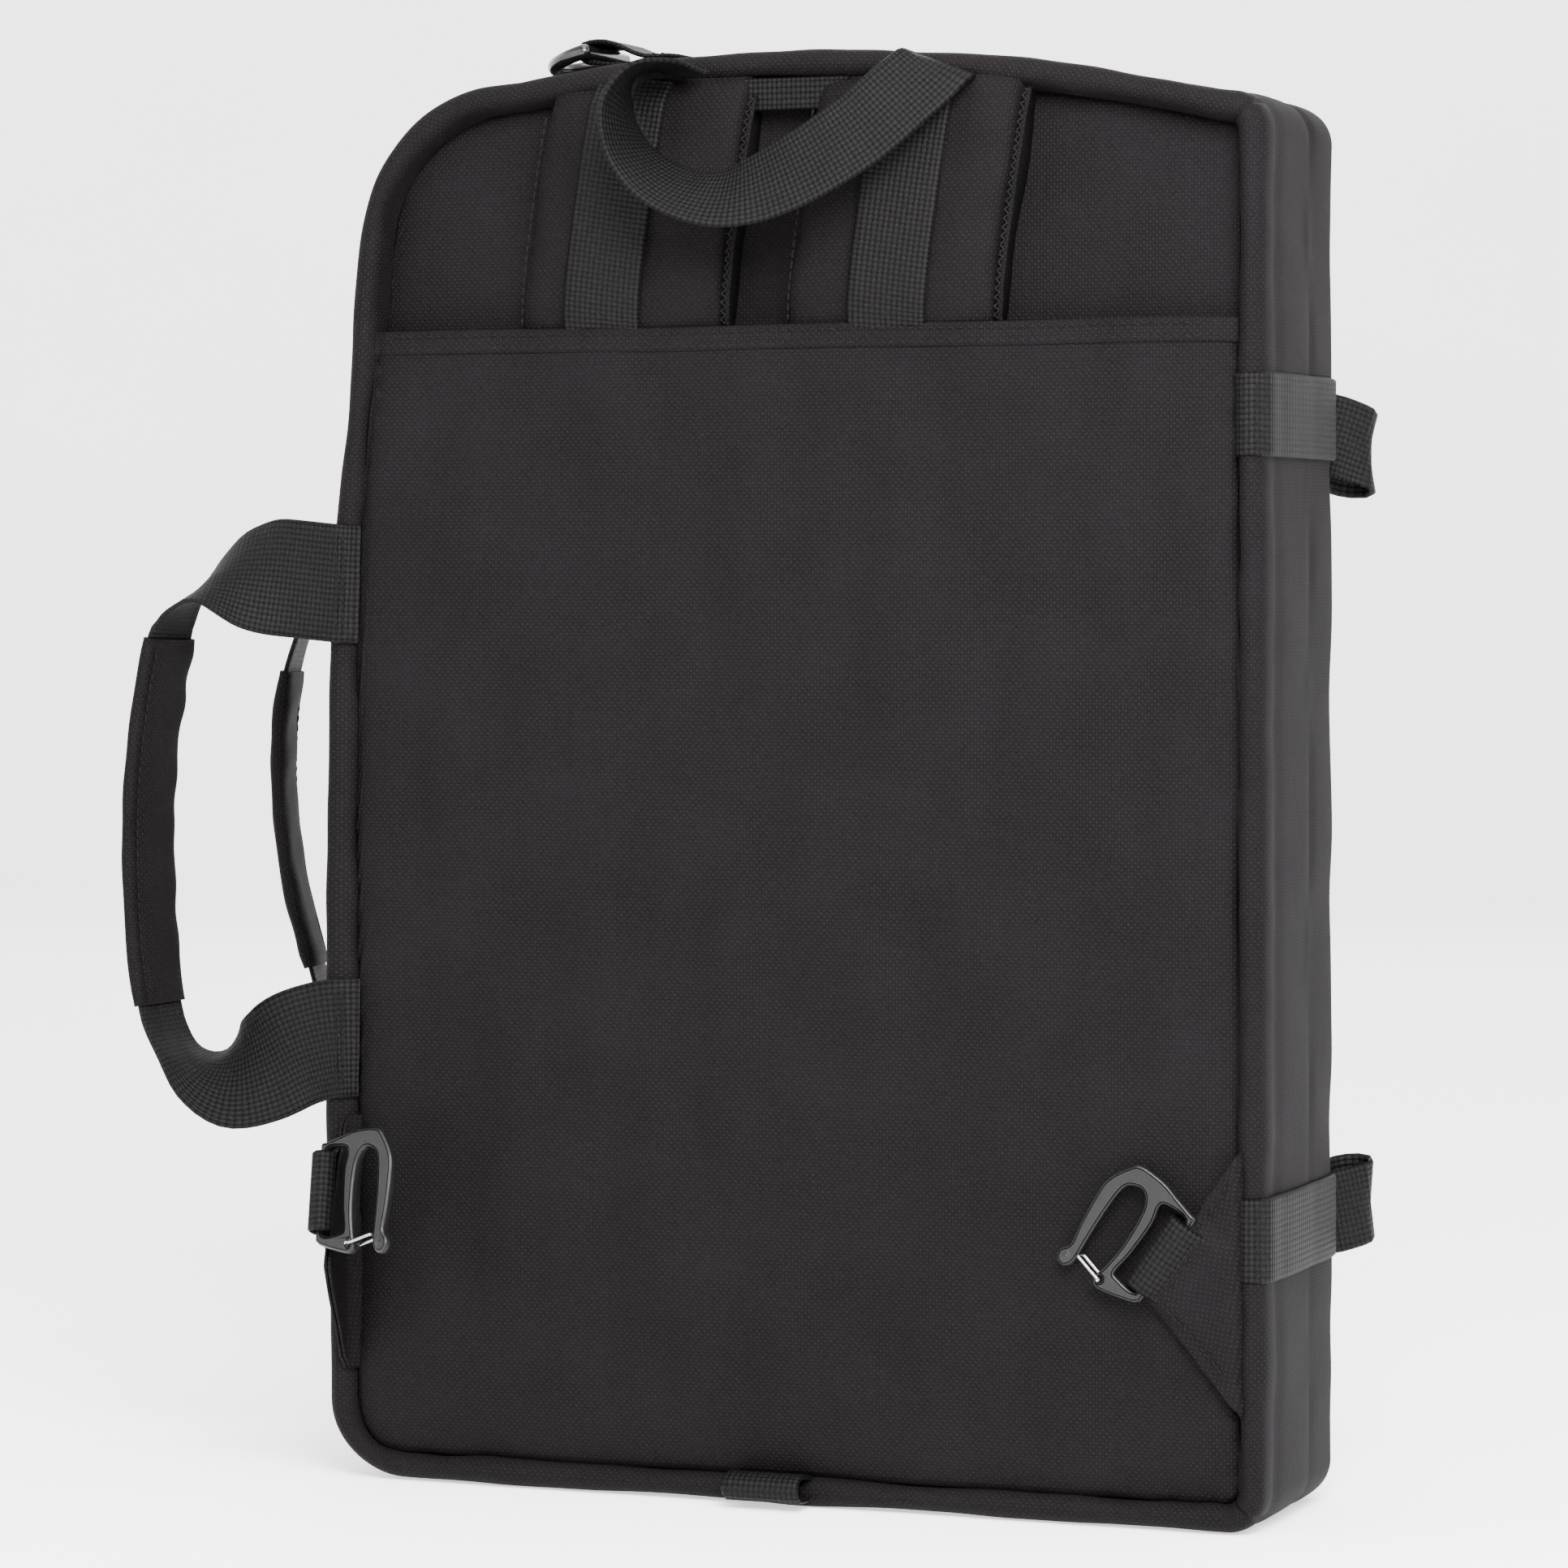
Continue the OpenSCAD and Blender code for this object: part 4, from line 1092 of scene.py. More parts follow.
RIGHT_TAB = shift(TAB_SEAM_X, TAB_Y, 0)
LEFT_TAB = shift(-TAB_SEAM_X, TAB_Y, 0) @ turn("Z", -TAB_RAISE) @ MIRROR_X
RIGHT_BAR_Z, RIGHT_TILT = 80.6, 34.7
LEFT_BAR_Z, LEFT_TILT = 91.0, 18.0
RIGHT_BAR = RIGHT_TAB @ bar_frame(RIGHT_BAR_Z, RIGHT_TILT)
LEFT_BAR = LEFT_TAB @ bar_frame(LEFT_BAR_Z, LEFT_TILT)
LEFT_HOOK = LEFT_BAR @ turn("Z", 60)


def placed(obj, matrix):
    """Moves a mesh by a frame, keeping its faces outwards in a mirrored one."""
    obj.data.transform(matrix)
    if matrix.determinant() < 0:
        obj.data.flip_normals()
    return obj


def plate(name, loops, thickness, bevel, material):
    """Flat moulded plate with rounded edges, drawn in x and z. The first loop is its
    outline, anticlockwise, and the rest are its holes, clockwise."""
    vertices, faces, rims = [], [], []
    half = thickness / 2
    quarter = np.radians([0, 30, 60, 90])
    rows = [(-bevel * (1 - math.cos(a)), -half + bevel - bevel * math.sin(a))
            for a in quarter[::-1]]
    rows += [(-bevel * (1 - math.cos(a)), half - bevel + bevel * math.sin(a)) for a in quarter]
    for loop in loops:
        loop = np.asarray(loop, float)
        along = unit(np.roll(loop, -1, 0) - np.roll(loop, 1, 0))
        out = np.c_[along[:, 1], -along[:, 0]]
        base, count = len(vertices), len(loop)
        for reach, y in rows:
            edge = loop + out * reach
            vertices += [(x, y, z) for x, z in edge]
        faces += ring_quads(base, len(rows), count)
        rims.append((base, count))
    for row, turned in ((0, False), (len(rows) - 1, True)):
        order = [list(range(base + row * count, base + (row + 1) * count))
                 for base, count in rims]
        rings = [[Vector((vertices[i][0], vertices[i][2], 0)) for i in ring] for ring in order]
        flat = [i for ring in order for i in ring]
        for triangle in tessellate_polygon(rings):
            a, b, c = (np.array(vertices[flat[i]]) for i in triangle)
            side = np.cross(b - a, c - a)[1]
            corner = [flat[i] for i in triangle]
            faces.append(corner if (side > 0) == turned else corner[::-1])
    return add_object(name, vertices, faces, material)


LONG_STRETCH = 6.0


def rounded(points):
    """Closed smooth outline through points, with long straight stretches kept straight."""
    dense = []
    p = np.array(points, float)
    for a, b in zip(p, np.roll(p, -1, 0)):
        count = max(1, int(np.linalg.norm(b - a) / LONG_STRETCH))
        dense += [a + (b - a) * k / count for k in range(count)]
    return spline(dense, 4, closed=True)


def ring_points(x, z, radius):
    """Round hole, clockwise."""
    a = -np.arange(14) * 2 * math.pi / 14
    return [(x + radius * math.cos(t), z + radius * math.sin(t)) for t in a]


KNOB_X, KNOB_Z, KNOB_R = 25.1, -17.7, 3.1
GATE_X, GATE_Z = 13.0, -17.0


def make_hook(side, frame_of):
    """Flat moulded hook with a round knob at its tip."""
    loops = [rounded(HOOK_OUTER), rounded(HOOK_SLOT)[::-1], ring_points(GATE_X, GATE_Z, 0.8)]
    hook = plate(f"hook_{side}_moulding", loops, HOOK_T, 0.95, HOOK_PLASTIC)
    soft = hook.modifiers.new("shade", "WEIGHTED_NORMAL")
    soft.keep_sharp = True
    t = np.linspace(0.02, math.pi - 0.02, 12)
    turned = np.linspace(0, 2 * math.pi, 25)[:-1]
    ball = [[(KNOB_X + KNOB_R * math.sin(a) * math.cos(b), 2.0 * math.cos(a),
              KNOB_Z + KNOB_R * math.sin(a) * math.sin(b)) for b in turned] for a in t]
    knob = add_grid(f"hook_{side}_knob", np.array(ball), HOOK_PLASTIC, wrap_j=True, caps=True)
    settle(placed(knob, frame_of), "hook_plastic", f"hook_{side}")
    settle(placed(hook, frame_of), "hook_plastic", f"hook_{side}", f"hook_{side}")


def make_gate(side, frame_of):
    """Sprung wire gate, hooked into the moulding's hole from both faces, and its pin."""
    half = HOOK_T / 2 + 0.75
    leg = [(GATE_X, half - 0.6, GATE_Z), (13.05, half, -16.95), (15, half, -16.6),
           (19.5, half, -15.6), (21.3, half, -15.2), (22.0, half - 0.7, -15.05)]
    other = [(x, -y, z) for x, y, z in reversed(leg)]
    cross = spline([(GATE_X, y, GATE_Z) for y in (-half - 0.5, 0, half + 0.5)], 4)
    gate = tube(f"gate_{side}_wire", spline(leg + other, 6), 0.48, GATE_STEEL, 10)
    pin = tube(f"gate_{side}_pin", cross, 0.6, GATE_STEEL, 12)
    for piece in (gate, pin):
        settle(placed(piece, frame_of), "gate_wire", f"gate_{side}")
    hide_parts(f"gate_{side}")


def make_hook_webbing(side, bar):
    """Webbing folded round the hook's bar, with both ends sewn inside the tab."""
    plan = [(-9, 0.95), (-5, 1.0), (-2.4, 1.8), (0.6, 2.9), (3.2, 2.9),
            (5.2, 1.5), (5.6, -0.5), (4.4, -2.4), (1.4, -3.1), (-1.6, -2.5), (-4.5, -1.1),
            (-9, -0.6)]
    rows = [(x, y, 0, 0, 0, 1) for x, y in plan]
    band = ribbon(f"hook_webbing_{side}_fold", rows, WEB_W, WEBBING, steps=5, spacing=1.2)
    placed(band, bar)
    settle(band, "webbing", f"tab_{side}", f"hook_webbing_{side}")


def tab_surface(side, bar_z, bar_tilt):
    """x and z over a cloth tab, and the y of its front and back layers, swollen over
    the webbing between them."""
    z = np.concatenate([np.linspace(34.0, 60, 14), np.linspace(62, 113.0, 36)])
    reach = np.interp(z, [34, 36, 69, 71, 94, 96.5, 112, 113],
                      [0.2, 1.0, 28.2, 27.8, 12.9, 11.6, 0.8, 0.2])
    t = np.linspace(0, 1, 24)
    root, root_rise = (2.0, 5.0) if side == "right" else (6.0, 5.5)
    x = root - (reach[:, None] + root) * t[None]
    z = z[:, None] + 0 * x
    rise = root_rise * (1 - smoothstep(-x, -root, 2.6))
    ripple = 0.12 * waves(x, z, 21, 61)
    tilt = math.radians(bar_tilt)
    from_bar_x, from_bar_z = x + BAR_IN, z - bar_z
    past = -from_bar_x * math.cos(tilt) + from_bar_z * math.sin(tilt)
    along = from_bar_x * math.sin(tilt) + from_bar_z * math.cos(tilt)
    swell = smoothstep(past, -19, -9) * (1 - smoothstep(np.abs(along), 10.5, 16.5))
    front = rise - 0.9 - 3.2 * swell + ripple
    back = rise + 0.35 - 0.5 * swell + ripple
    return x, z, front, back


def make_tab(side, tab, bar_z, bar_tilt):
    """Doubled cloth tab folded out of the side seam, drawn as the right-hand one. The
    hook's webbing is sewn between its layers."""
    x, z, front, back = tab_surface(side, bar_z, bar_tilt)
    uv = np.stack([x * 0.82 + z * 0.57, z * 0.82 - x * 0.57], -1)
    for layer, y in (("front", front), ("back", back)):
        piece = add_grid(f"hook_tab_{side}_{layer}", np.stack([x, y, z], -1), CLOTH, uv=uv)
        placed(piece, tab)
        thicken(piece, 0.8, 0.0)
        if layer == "front":
            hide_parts(f"hook_tab_{side}")
        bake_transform(piece)
    make_tab_stitching(side, tab, x, z, front)


def make_tab_stitching(side, tab, x, z, front):
    """Two rows across the webbing's root and one along each edge, on the front layer."""
    lines = []
    for gap, first, last in ((2.6, 2, 29), (5.2, 6, 24)):
        line = np.linspace((-28.0, 70.6), (-12.9, 94.2), 30)[first:last]
        lines.append(line + np.array([0.853, -0.522]) * gap)
    lines.append(np.linspace((-25.2, 68.6), (-4.5, 44.6), 30) + np.array([0.2, 1.8]))
    lines.append(np.linspace((-11.0, 95.0), (-3.0, 107.5), 10) + np.array([1.6, -1.2]))
    threads = []
    for line in lines:
        gap = np.hypot(x[None] - line[:, 0, None, None], z[None] - line[:, 1, None, None])
        nearest = gap.reshape(len(line), -1).argmin(1)
        y = front.ravel()[nearest] - 0.55
        threads.append((np.c_[line[:, 0], y, line[:, 1]], (0, -1, 0)))
    thread = stitches(f"hook_tab_{side}_stitching", threads, THREAD, pitch=2.6, length=2.0)
    placed(thread, tab)
    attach(thread, f"tab_{side}")


make_tab("right", RIGHT_TAB, RIGHT_BAR_Z, RIGHT_TILT)
make_tab("left", LEFT_TAB, LEFT_BAR_Z, LEFT_TILT)
make_hook_webbing("right", RIGHT_BAR)
make_hook_webbing("left", LEFT_BAR)
for _side, _frame in (("right", RIGHT_BAR), ("left", LEFT_HOOK)):
    make_hook(_side, _frame)
    make_gate(_side, _frame)


# ---- main zip ---------------------------------------------------------------

WALL_T = 3.0
ZIP_Y = 14.5


def inset_path(inset, y, x_end):
    """Points round the zipped stretch at one inset and depth, up to x_end."""
    points = STATIONS[ZIPPED] + INWARD[ZIPPED] * inset
    points = points[points[:, 0] <= x_end + 0.5]
    return np.c_[points[:, 0], 0 * points[:, 0] + y, points[:, 1]]


def make_zip(side, y_tape, y_coil, body):
    """Woven tape and a run of moulded coil turns along its edge."""
    tape_profile = np.array([(WALL_T + 0.35, y) for y in np.linspace(*y_tape, 6)])
    index = ZIPPED[STATIONS[ZIPPED, 0] <= COVER_END + 0.5]
    grid = sweep(index, tape_profile, swell=False)
    tape = add_grid(f"zip_tape_{side}", grid, TAPE, flip=y_tape[1] < y_tape[0])
    thicken(tape, 0.7, 0.0)
    settle(tape, "zip_tape", body, f"zipper_tape_{side}")
    path = resample(inset_path(WALL_T - 0.7, y_coil, COVER_END), 1.25)
    tangent = unit(np.gradient(path, axis=0))
    outward = np.cross(tangent, (0, 1, 0))
    vertices, faces = [], []
    lobes = np.radians(np.arange(5) * 72)
    hand = 1 if side == "back" else -1
    loop = [(-0.85, 0.1), (-0.5, 0.62), (0.35, 0.66), (1.0, 0.15), (0.95, -0.2), (0.3, -0.66),
            (-0.5, -0.62), (-0.85, -0.1)]
    for point, t, out in zip(path, tangent, outward):
        base = len(vertices)
        for y, rise in loop:
            centre = point + np.array([0, y * hand, 0]) + out * rise
            radial = unit(np.array([0, y * hand, 0]) + out * rise)
            for a in lobes:
                vertices.append(centre + 0.3 * (radial * math.cos(a) + t * math.sin(a)))
        faces += ring_quads(base, len(loop), len(lobes))
    coil = add_object(f"zip_coil_{side}", np.array(vertices), faces, COIL_PLASTIC)
    settle(coil, "zip_coil", body, f"zipper_coil_{side}")


def make_zip_stitching():
    for side, body, y in (("back", "case", 7.6), ("front", "front_cover", 21.6)):
        index = ZIPPED[STATIONS[ZIPPED, 0] <= COVER_END + 0.5]
        path = inset_path(-0.25, y, COVER_END)
        out = -INWARD[index][:len(path)]
        out = np.c_[out[:, 0], 0 * out[:, 0], out[:, 1]]
        thread = stitches(f"zip_stitching_{side}", [(path, out)], THREAD, pitch=3.3)
        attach(thread, body)


make_zip("back", (5.8, ZIP_Y - 1.1), ZIP_Y - 1.8, "case")
make_zip("front", (25.0, ZIP_Y + 1.1), ZIP_Y + 1.8, "front_cover")
make_zip_stitching()


# ---- front cover ------------------------------------------------------------

FRONT_PROFILE = spline([
    (0.3, 19.7), (0.0, 23.0), (-0.1, 28.0), (0.1, 32.5), (0.8, 36.2), (2.4, 38.4), (4.4, 39.0),
    (6.4, 38.3), (7.8, 36.4), (SEAM_INSET, 33.6), (SEAM_INSET + 0.3, 31.5),
], 3)
COVER_FACE = FRONT_Y - 0.9


def front_y(x, z):
    s = seam_distance(x, z)
    s = np.where(x > COVER_END - 30, np.minimum(s, 60), s)
    near_fold = smoothstep(x, COVER_END - 6, COVER_END + 2)
    rise = (1 - np.exp(-s / 4.5)) * (1 - near_fold) + near_fold
    return (COVER_FACE - 5.0 + 5.2 * rise + 0.25 * waves(x, z, 70, 71) * smoothstep(s, 0, 20))


def make_cover_shell():
    index = ZIPPED[STATIONS[ZIPPED, 0] <= COVER_END + 0.3]
    grid = sweep(index, FRONT_PROFILE, swell=False)
    normals = grid_normals(grid, flip=True)
    s = ALONG[index][:, None]
    across = lengths(np.c_[FRONT_PROFILE, np.zeros(len(FRONT_PROFILE))])[None]
    lift = 0.3 * waves(s, across * 2, 42, 73) + 0.15 * waves(s, across, 16, 74)
    lift = lift * smoothstep(across, 0, 4) * smoothstep(across[0, -1] - across, 0, 3)
    grid = grid + normals * lift[..., None]
    shell = add_grid("cover_shell", grid, CLOTH)
    thicken(shell, 1.1)
    settle(shell, "shell_cloth", "front_cover", "zip_gusset_front", "front_edge_roll")


def make_cover_face():
    x, z = face_grid(-HALF_W + SEAM_INSET, 146.0, 0, CASE_H, step=4.0)
    panel = add_panel("cover_panel_padded", x, z, front_y(x, z), CLOTH, front=True)
    thicken(panel, 1.2)
    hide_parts("front_panel", "front_foam")
    settle(panel, "shell_cloth", "front_cover")


HINGE_SECTION = [(149.6, 37.4), (149.3, 38.6), (148.4, 39.3), (147.2, 39.6), (145.6, 39.6),
                 (144.0, 39.4), (142.2, 39.1), (140.6, 38.9), (139.8, 38.2)]


def make_hinge_cloth():
    """Fold of cloth that joins the side gusset to the cover, with its seam."""
    z = np.linspace(15, 412, 90)
    grid = np.array([[(x, y, height) for height in z] for x, y in HINGE_SECTION])
    grid[..., 1] += 0.2 * waves(grid[..., 0] * 3, grid[..., 2], 34, 76)
    strip = add_grid("cover_hinge_cloth", grid[::-1], CLOTH)
    thicken(strip, 1.0)
    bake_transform(strip)
    line = np.c_[0 * z + 141.4, 0 * z + 39.35, z]
    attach(stitches("cover_hinge_stitching", [(line, (0, 1, 0))], THREAD), "front_cover")


POCKET_CORNER = 9.0


def pocket_edge(x, z, low, high):
    """Distance inwards from the edge of a pocket with rounded corners."""
    centre, half = (low + high) / 2, (high - low) / 2
    dx = np.abs(x - centre[0]) - half[0] + POCKET_CORNER
    dz = np.abs(z - centre[1]) - half[1] + POCKET_CORNER
    outside = np.hypot(np.maximum(dx, 0), np.maximum(dz, 0))
    return POCKET_CORNER - (outside + np.minimum(np.maximum(dx, dz), 0))


POCKET_LOW, POCKET_HIGH = box_mm("front_pocket")
TAPES_LOW, TAPES_HIGH = box_mm("pocket_zip_tapes")
SLIT_X = (TAPES_LOW[0] + TAPES_HIGH[0]) / 2
SLIT_HALF = 3.5


def edge_fine(low, high, inner):
    """Places from low to high, close together over the last 8 mm at both ends."""
    return np.concatenate([np.linspace(low, low + 8, 9), *inner, np.linspace(high - 8, high, 9)])


def make_pocket_cloth():
    """Gusseted pocket cloth with a slit for its zip."""
    low, high = POCKET_LOW, POCKET_HIGH
    beside_slit = [[-122.6, -121.9], [-114.1, -113.4]]
    xs = edge_fine(low[0], high[0], [np.arange(low[0] + 10.0, -123.0, 2.5), *beside_slit,
                                     np.arange(-111.0, high[0] - 9, 4.0)])
    zs = edge_fine(low[2], high[2], [np.arange(low[2] + 11, high[2] - 9, 4.0)])
    x, z = np.meshgrid(xs, zs, indexing="ij")
    s = pocket_edge(x, z, low[[0, 2]], high[[0, 2]])
    inside = np.clip(s, 0, 7.0) / 7.0
    rise = (high[1] - low[1]) * np.sqrt(np.clip(1 - (1 - inside) ** 2.6, 0, 1))
    swell = 1.6 * (1 - np.exp(-np.clip(s, 0, None) / 55))
    ripple = (0.4 * waves(x, z, 62, 81) + 0.2 * waves(x, z, 30, 82)) * smoothstep(s, 4, 22)
    flat = np.exp(-((x - SLIT_X) / 16) ** 2)
    y = low[1] + rise + (swell + ripple) * (1 - flat) - 0.4 * flat * smoothstep(s, 4, 12)
    centre_x, centre_z = (x[:-1] + x[1:]) / 2, (z[:, :-1] + z[:, 1:]) / 2
    slit = np.abs(centre_x[:, :-1] - SLIT_X) < SLIT_HALF
    slit &= (centre_z[:-1] > TAPES_LOW[2] + 3) & (centre_z[:-1] < TAPES_HIGH[2] - 3)
    outside = s[:-1, :-1] < -0.5
    pocket = add_grid("front_pocket_cloth", np.stack([x, y, z], -1), CLOTH,
                      uv=np.stack([x, z], -1), keep=~(slit | outside))
    thicken(pocket, 1.0)
    settle(pocket, "shell_cloth", "front_cover", "front_pocket")


def make_pocket_binding():
    """Corded seam round the pocket's root."""
    left, right = POCKET_LOW[0] + POCKET_CORNER, POCKET_HIGH[0] - POCKET_CORNER
    bottom, top = POCKET_LOW[2] + POCKET_CORNER, POCKET_HIGH[2] - POCKET_CORNER
    rim = []
    for x, z, start in ((right, top, 0), (left, top, 90), (left, bottom, 180),
                        (right, bottom, 270)):
        for a in np.radians(np.linspace(start, start + 90, 8)):
            rim.append((x + POCKET_CORNER * math.cos(a), POCKET_LOW[1] + 1.2,
                        z + POCKET_CORNER * math.sin(a)))
    path = resample(np.array(rim + rim[:1]), 3.0)[:-1]
    binding = tube("front_pocket_binding", path, 1.25, PAD_CLOTH, 10, closed=True)
    settle(binding, "shell_cloth", "front_cover")


def make_pocket_tapes():
    zs = np.arange(TAPES_LOW[2], TAPES_HIGH[2], 4.0)
    for hand, label in ((-1, "near"), (1, "far")):
        xs = (SLIT_X + hand * np.array([0.9, 2.5, 4.0, 5.5, 7.0]))[::hand]
        x, z = np.meshgrid(xs, zs, indexing="ij")
        tape_grid = np.stack([x, 0 * x + POCKET_HIGH[1] - 0.7, z], -1)
        tape = add_grid(f"pocket_zip_tape_{label}", tape_grid, TAPE)
        thicken(tape, 0.6)
        settle(tape, "zip_tape", "front_cover")
        if hand < 0:
            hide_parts("pocket_zip_tapes")
        line = np.c_[0 * zs + SLIT_X + hand * 5.6, 0 * zs + POCKET_HIGH[1] + 0.2, zs]
        thread = stitches(f"pocket_zip_stitching_{label}", [(line, (0, 1, 0))], THREAD)
        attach(thread, "front_cover")


def make_pocket_coil():
    """Coil turns that hook in from both sides by turns."""
    low, high = box_mm("pocket_zip_coil")
    steps, sides = 9, 6
    vertices, faces = [], []
    for n, height in enumerate(np.arange(low[2], high[2], 0.95)):
        hand = 1 if n % 2 else -1
        faces += ring_quads(len(vertices), steps, sides)
        for a in np.linspace(0, math.pi, steps):
            centre = np.array([SLIT_X + hand * (1.0 - 1.35 * math.sin(a)) * 0.9,
                               high[1] - 0.62 + 0.55 * math.cos(a), height])
            for b in np.arange(sides) * 2 * math.pi / sides:
                vertices.append(centre + 0.33 * np.array([0.4 * math.cos(b), math.cos(b),
                                                          1.1 * math.sin(b)]))
    coil = add_object("pocket_zip_teeth", np.array(vertices), faces, COIL_PLASTIC)
    settle(coil, "zip_coil", "front_cover", "pocket_zip_coil")


make_welt("zip_welt_front", [(3.1, 24.0), (3.0, 19.4), (2.4, 18.1), (1.0, 18.0), (0.25, 18.7),
                             (0.3, 19.8)], "front_cover")
make_cover_shell()
make_cover_face()
make_hinge_cloth()
make_pocket_cloth()
make_pocket_binding()
make_pocket_tapes()
make_pocket_coil()


# ---- inside -----------------------------------------------------------------


def lining_panel(name, x_high, y_at, body, node, front, seed):
    x, z = face_grid(-HALF_W + WALL_T, x_high, 0, CASE_H, step=6.0, inset=WALL_T + 0.4)
    s = seam_distance(x, z, WALL_T + 0.4)
    sign = 1 if front else -1
    y = y_at + sign * (0.5 * smoothstep(s, 0, 14) + 0.25 * waves(x, z, 55, seed)
                       * smoothstep(s, 0, 20))
    panel = add_panel(name, x, z, y, LINING, front=front)
    thicken(panel, 0.6)
    return settle(panel, "lining", body, node)


BACK_LINING_Y = float(box_mm("back_lining")[1][1])
COVER_LINING_Y = float(box_mm("front_lining")[0][1])


def make_gusset_lining():
    """Lining of the wall: under the back part of the zip, and all of the side gusset."""
    wall = np.linspace(BACK_LINING_Y, 5.6, 8)
    gusset = np.linspace(8.0, COVER_LINING_Y - 1, 7)
    profile = np.array([(WALL_T + 0.3, y) for y in (*wall, *gusset)])
    keep = np.ones((len(STATIONS), len(profile) - 1), bool)
    keep[SIDE_COUNT - 1:, len(wall) - 1:] = False
    grid = sweep(np.arange(len(STATIONS)), profile, swell=False)
    walls = add_grid("gusset_lining_cloth", grid, LINING, wrap_i=True, keep=keep, flip=True)
    thicken(walls, 0.6)
    settle(walls, "lining", "case", "gusset_lining")


def make_laptop_sleeve():
    """Padded sleeve panel with bound edges and a strap that holds it shut."""
    low, high = box_mm("sleeve_panel")
    x, z = np.meshgrid(np.linspace(low[0], high[0], 46), np.linspace(low[2], high[2], 60),
                       indexing="ij")
    edge = np.minimum.reduce([x - low[0], high[0] - x, z - low[2], high[2] - z])
    puff = 1 - np.exp(-edge / 5)
    front = high[1] - 1.4 + 1.9 * puff + 0.3 * waves(x, z, 60, 93) * smoothstep(edge, 0, 25)
    back = low[1] + 0.6 - 0.5 * puff
    faces = [np.stack([x, front, z], -1), np.stack([x, back, z], -1)[::-1]]
    weave = np.stack([x, z], -1)
    sheath = add_grid("laptop_sleeve_padded", np.concatenate(faces), LINING, wrap_i=True,
                      uv=np.concatenate([weave, weave[::-1], weave[:1]]))
    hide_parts("sleeve_panel")
    settle(sheath, "lining", "case")
    middle = np.full(60, (low[1] + high[1]) / 2)
    top = np.c_[np.linspace(low[0] + 1, high[0] - 1, 60), middle, np.full(60, high[2])]
    up = np.c_[np.full(60, low[0]), middle, np.linspace(low[2], high[2], 60)]
    path = np.vstack([up[:-3], top[1:]])
    piping = tube("sleeve_binding", resample(path, 4.0), 2.3, WEBBING, 10)
    settle(piping, "webbing", "case")
    strap = [(-131, BACK_LINING_Y + 0.9), (-129.5, -10), (-129.5, 0), (-126, 3.0),
             (-114, 3.2), (-101, 3.2)]
    rows = [(x0, y0, 208, 0, 0, 1) for x0, y0 in strap]
    add_band("sleeve_closing_strap", rows, 28.0, "case", replaced=("sleeve_strap",), steps=6)


def make_document_pocket():
    """Open-topped pocket inside the cover, its bound edge a little slack."""
    low, high = box_mm("document_pocket")
    xs, zs = np.linspace(low[0], high[0], 44), np.linspace(low[2], high[2], 44)
    x, z = np.meshgrid(xs, zs, indexing="ij")
    edge = np.minimum.reduce([x - low[0], high[0] - x, z - low[2]])
    round_edge = np.sqrt(np.clip(1 - (1 - np.clip(edge / 6, 0, 1)) ** 2, 0, 1))
    rise = (high[1] - low[1] - 0.6) * round_edge
    slack = 1.1 * np.exp(-((z - high[2]) / 26) ** 2) * (1 - ((x - 1) / 119) ** 2)
    y = high[1] - 0.5 - rise - slack + 0.35 * waves(x, z, 52, 95) * smoothstep(edge, 4, 24)
    pocket = add_panel("document_pocket_cloth", x, z, y, LINING)
    thicken(pocket, 0.8)
    settle(pocket, "lining", "front_cover", "document_pocket")
    tape = np.c_[xs, y[:, -1] - 0.2, 0 * xs + high[2] - 4, 0 * xs, 0 * xs, 0 * xs + 1]
    trim = add_band("document_pocket_trim", tape, 9.0, "front_cover", steps=2, thickness=1.8)


lining_panel("back_lining_cloth", HALF_W - WALL_T, BACK_LINING_Y, "case", "back_lining", True, 91)
lining_panel("cover_lining_cloth", COVER_END, COVER_LINING_Y, "front_cover", "front_lining",
             False, 92)
make_gusset_lining()
make_laptop_sleeve()
make_document_pocket()


# ---- CAD nodes that stay ----------------------------------------------------


def dress(node, material, bevel):
    """Keeps a CAD node's shape and gives it a moulded edge and a finish."""
    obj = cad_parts[node]
    obj.data.materials.clear()
    obj.data.materials.append(material)
    edge = obj.modifiers.new("edge", "BEVEL")
    edge.width = bevel * MM
    edge.segments = 3
    edge.limit_method = "ANGLE"
    edge.harden_normals = True


for _node in ("slider_upper", "slider_lower", "pocket_slider"):
    dress(_node, SLIDER_METAL, 0.3)
for _node in ("puller_upper", "puller_lower", "pocket_puller"):
    dress(_node, SLIDER_METAL, 0.25)
dress("strap_adjusters", HOOK_PLASTIC, 0.4)
dress("strap_tails", WEBBING, 0.2)
dress("top_ring", RING_PLASTIC, 0.1)


# ---- stage, camera and light ------------------------------------------------


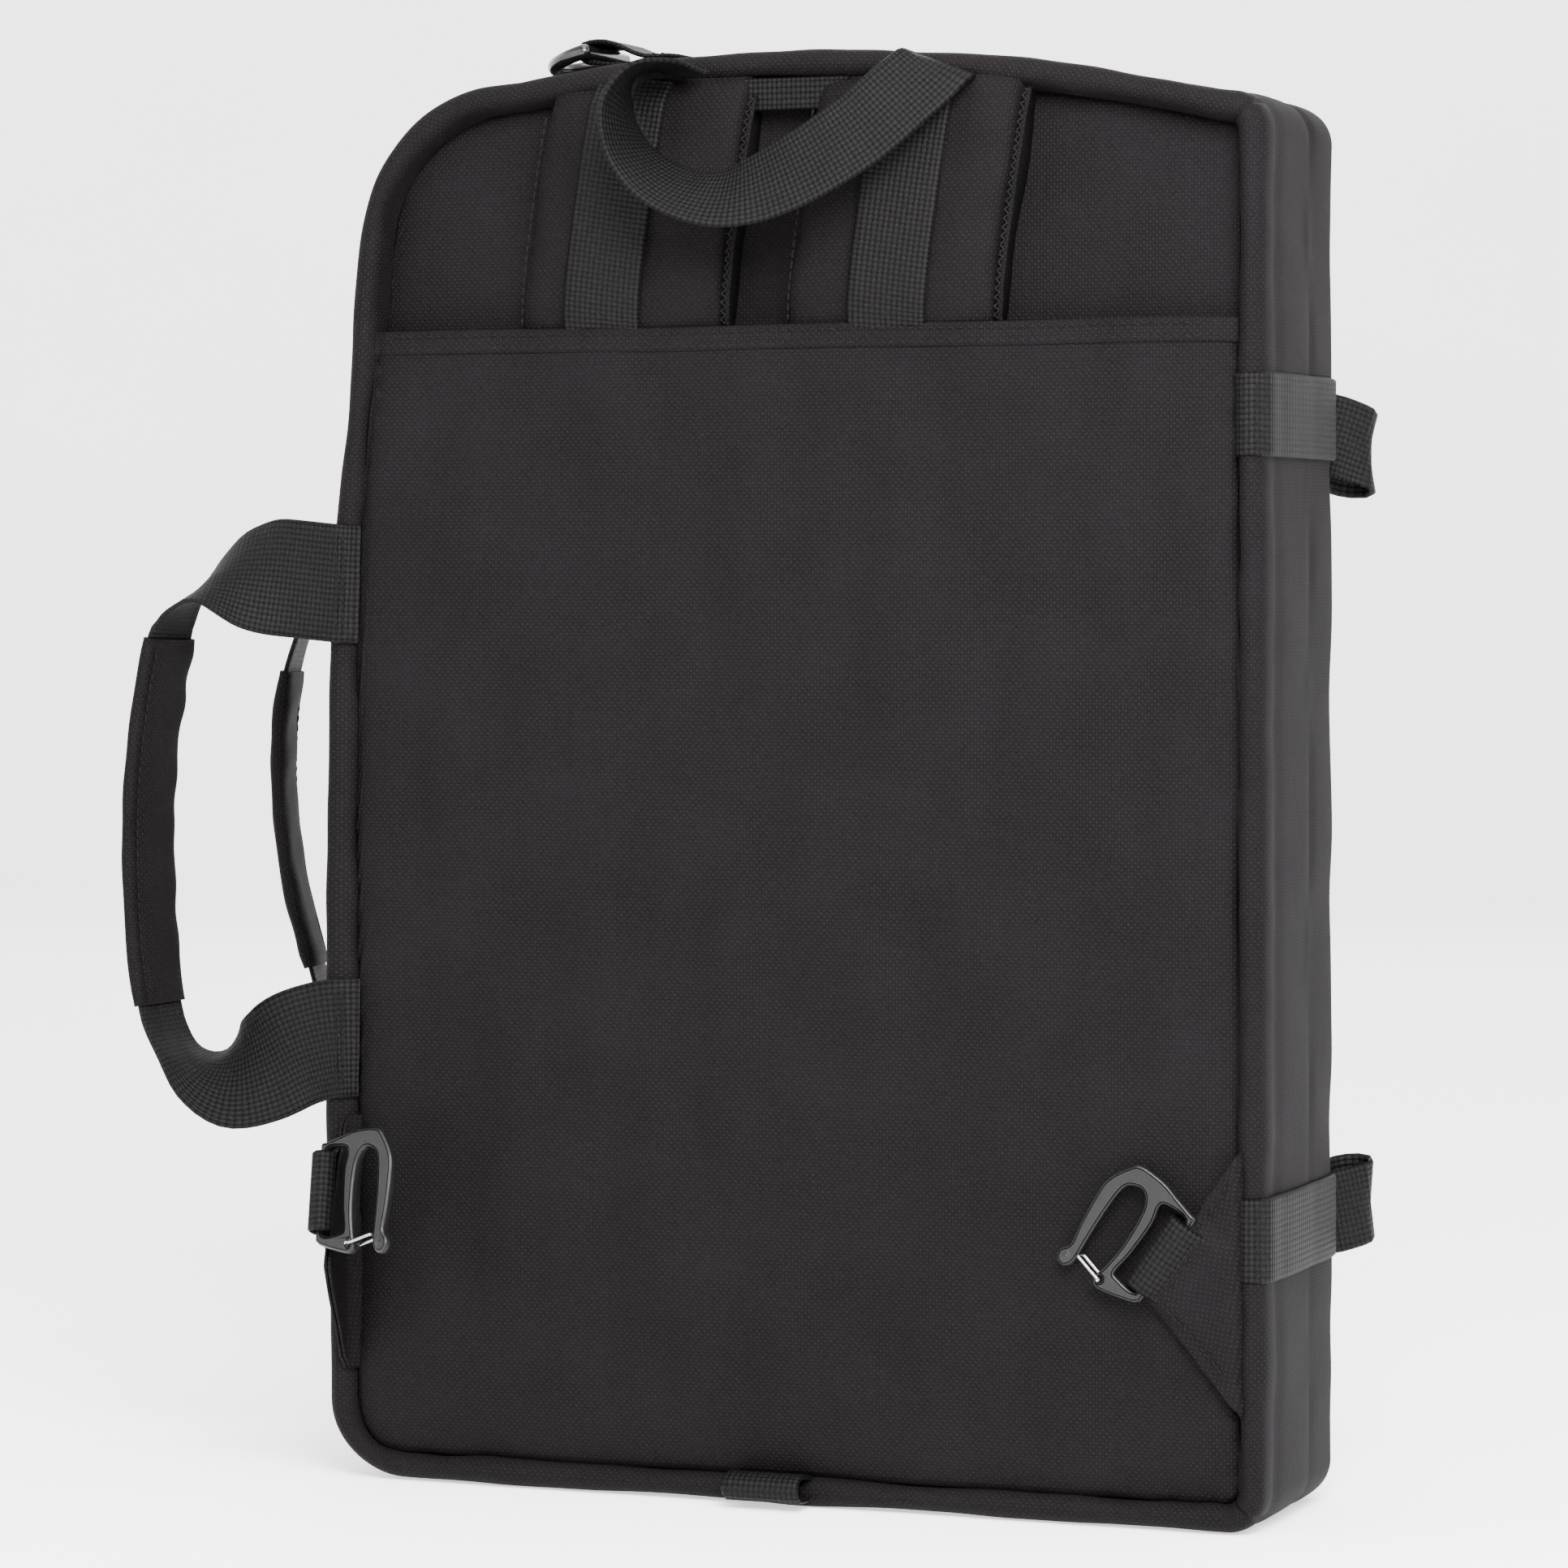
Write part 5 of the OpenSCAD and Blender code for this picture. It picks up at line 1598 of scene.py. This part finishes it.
def make_stage():
    material, tree, shader = new_material("pale_studio")
    place = tree.nodes.new("ShaderNodeTexCoord").outputs["Object"]
    mottle = noise_node(tree, place, 3.0)
    tint(tree, shader, mottle, [(0.3, (0.93, 0.93, 0.93)), (0.7, (0.96, 0.96, 0.96))])
    shader.inputs["Roughness"].default_value = 0.9
    shader.inputs["Specular IOR Level"].default_value = 0.1
    shader.inputs["Emission Color"].default_value = (1, 1, 1, 1)
    shader.inputs["Emission Strength"].default_value = 0.9
    flat_r, cove_r, wall_top = 3600, 1400, 3600
    cove = np.radians([20, 40, 60, 90])
    radii = [0, 800, 2000, flat_r, *(flat_r + cove_r * np.sin(cove)), flat_r + cove_r]
    rises = [0, 0, 0, 0, *(cove_r * (1 - np.cos(cove))), wall_top]
    angles = np.linspace(0, 2 * math.pi, 97)[:-1]
    floor_z = -0.4
    grid = np.array([[(r * math.cos(a), r * math.sin(a), floor_z + h) for a in angles]
                     for r, h in zip(np.array(radii) + 0.01, rises)])
    floor = add_grid("studio_floor", grid, material, wrap_j=True)


def make_camera():
    data = bpy.data.cameras.new("camera")
    camera = bpy.data.objects.new("camera", data)
    bpy.context.scene.collection.objects.link(camera)
    yaw = math.radians(21.5)
    distance, aside, eye_height = 1715.0, -13.3, 285.0
    x = distance * math.sin(yaw) + aside * math.cos(yaw)
    y = -distance * math.cos(yaw) + aside * math.sin(yaw)
    camera.location = Vector((x, y, eye_height)) * MM
    camera.rotation_euler = (math.radians(90), 0, yaw)
    data.sensor_width = 36.0
    data.lens = 127.3
    data.shift_y = -0.1403
    data.clip_start, data.clip_end = 0.05, 50
    bpy.context.scene.camera = camera


def add_light(name, place, target, size, energy):
    data = bpy.data.lights.new(name, "AREA")
    data.shape = "RECTANGLE"
    data.size = data.size_y = size * MM
    data.energy = energy
    lamp = bpy.data.objects.new(name, data)
    lamp.location = Vector(place) * MM
    aim = Vector(target) - Vector(place)
    lamp.rotation_euler = aim.to_track_quat("-Z", "Y").to_euler()
    bpy.context.scene.collection.objects.link(lamp)


def make_light():
    world = bpy.data.worlds.new("studio")
    world.use_nodes = True
    background = world.node_tree.nodes["Background"]
    background.inputs[0].default_value = (1, 1, 1, 1)
    background.inputs[1].default_value = 1.6
    bpy.context.scene.world = world
    add_light("key", (560, -900, 900), (0, 0, 260), 600, 66)
    add_light("fill", (-1500, -1900, 700), (0, 0, 200), 1400, 12)
    add_light("top", (200, -300, 2000), (0, 0, 200), 1400, 45)
    add_light("behind", (-600, 2100, 1300), (0, 0, 220), 1500, 25)


make_stage()
make_camera()
make_light()
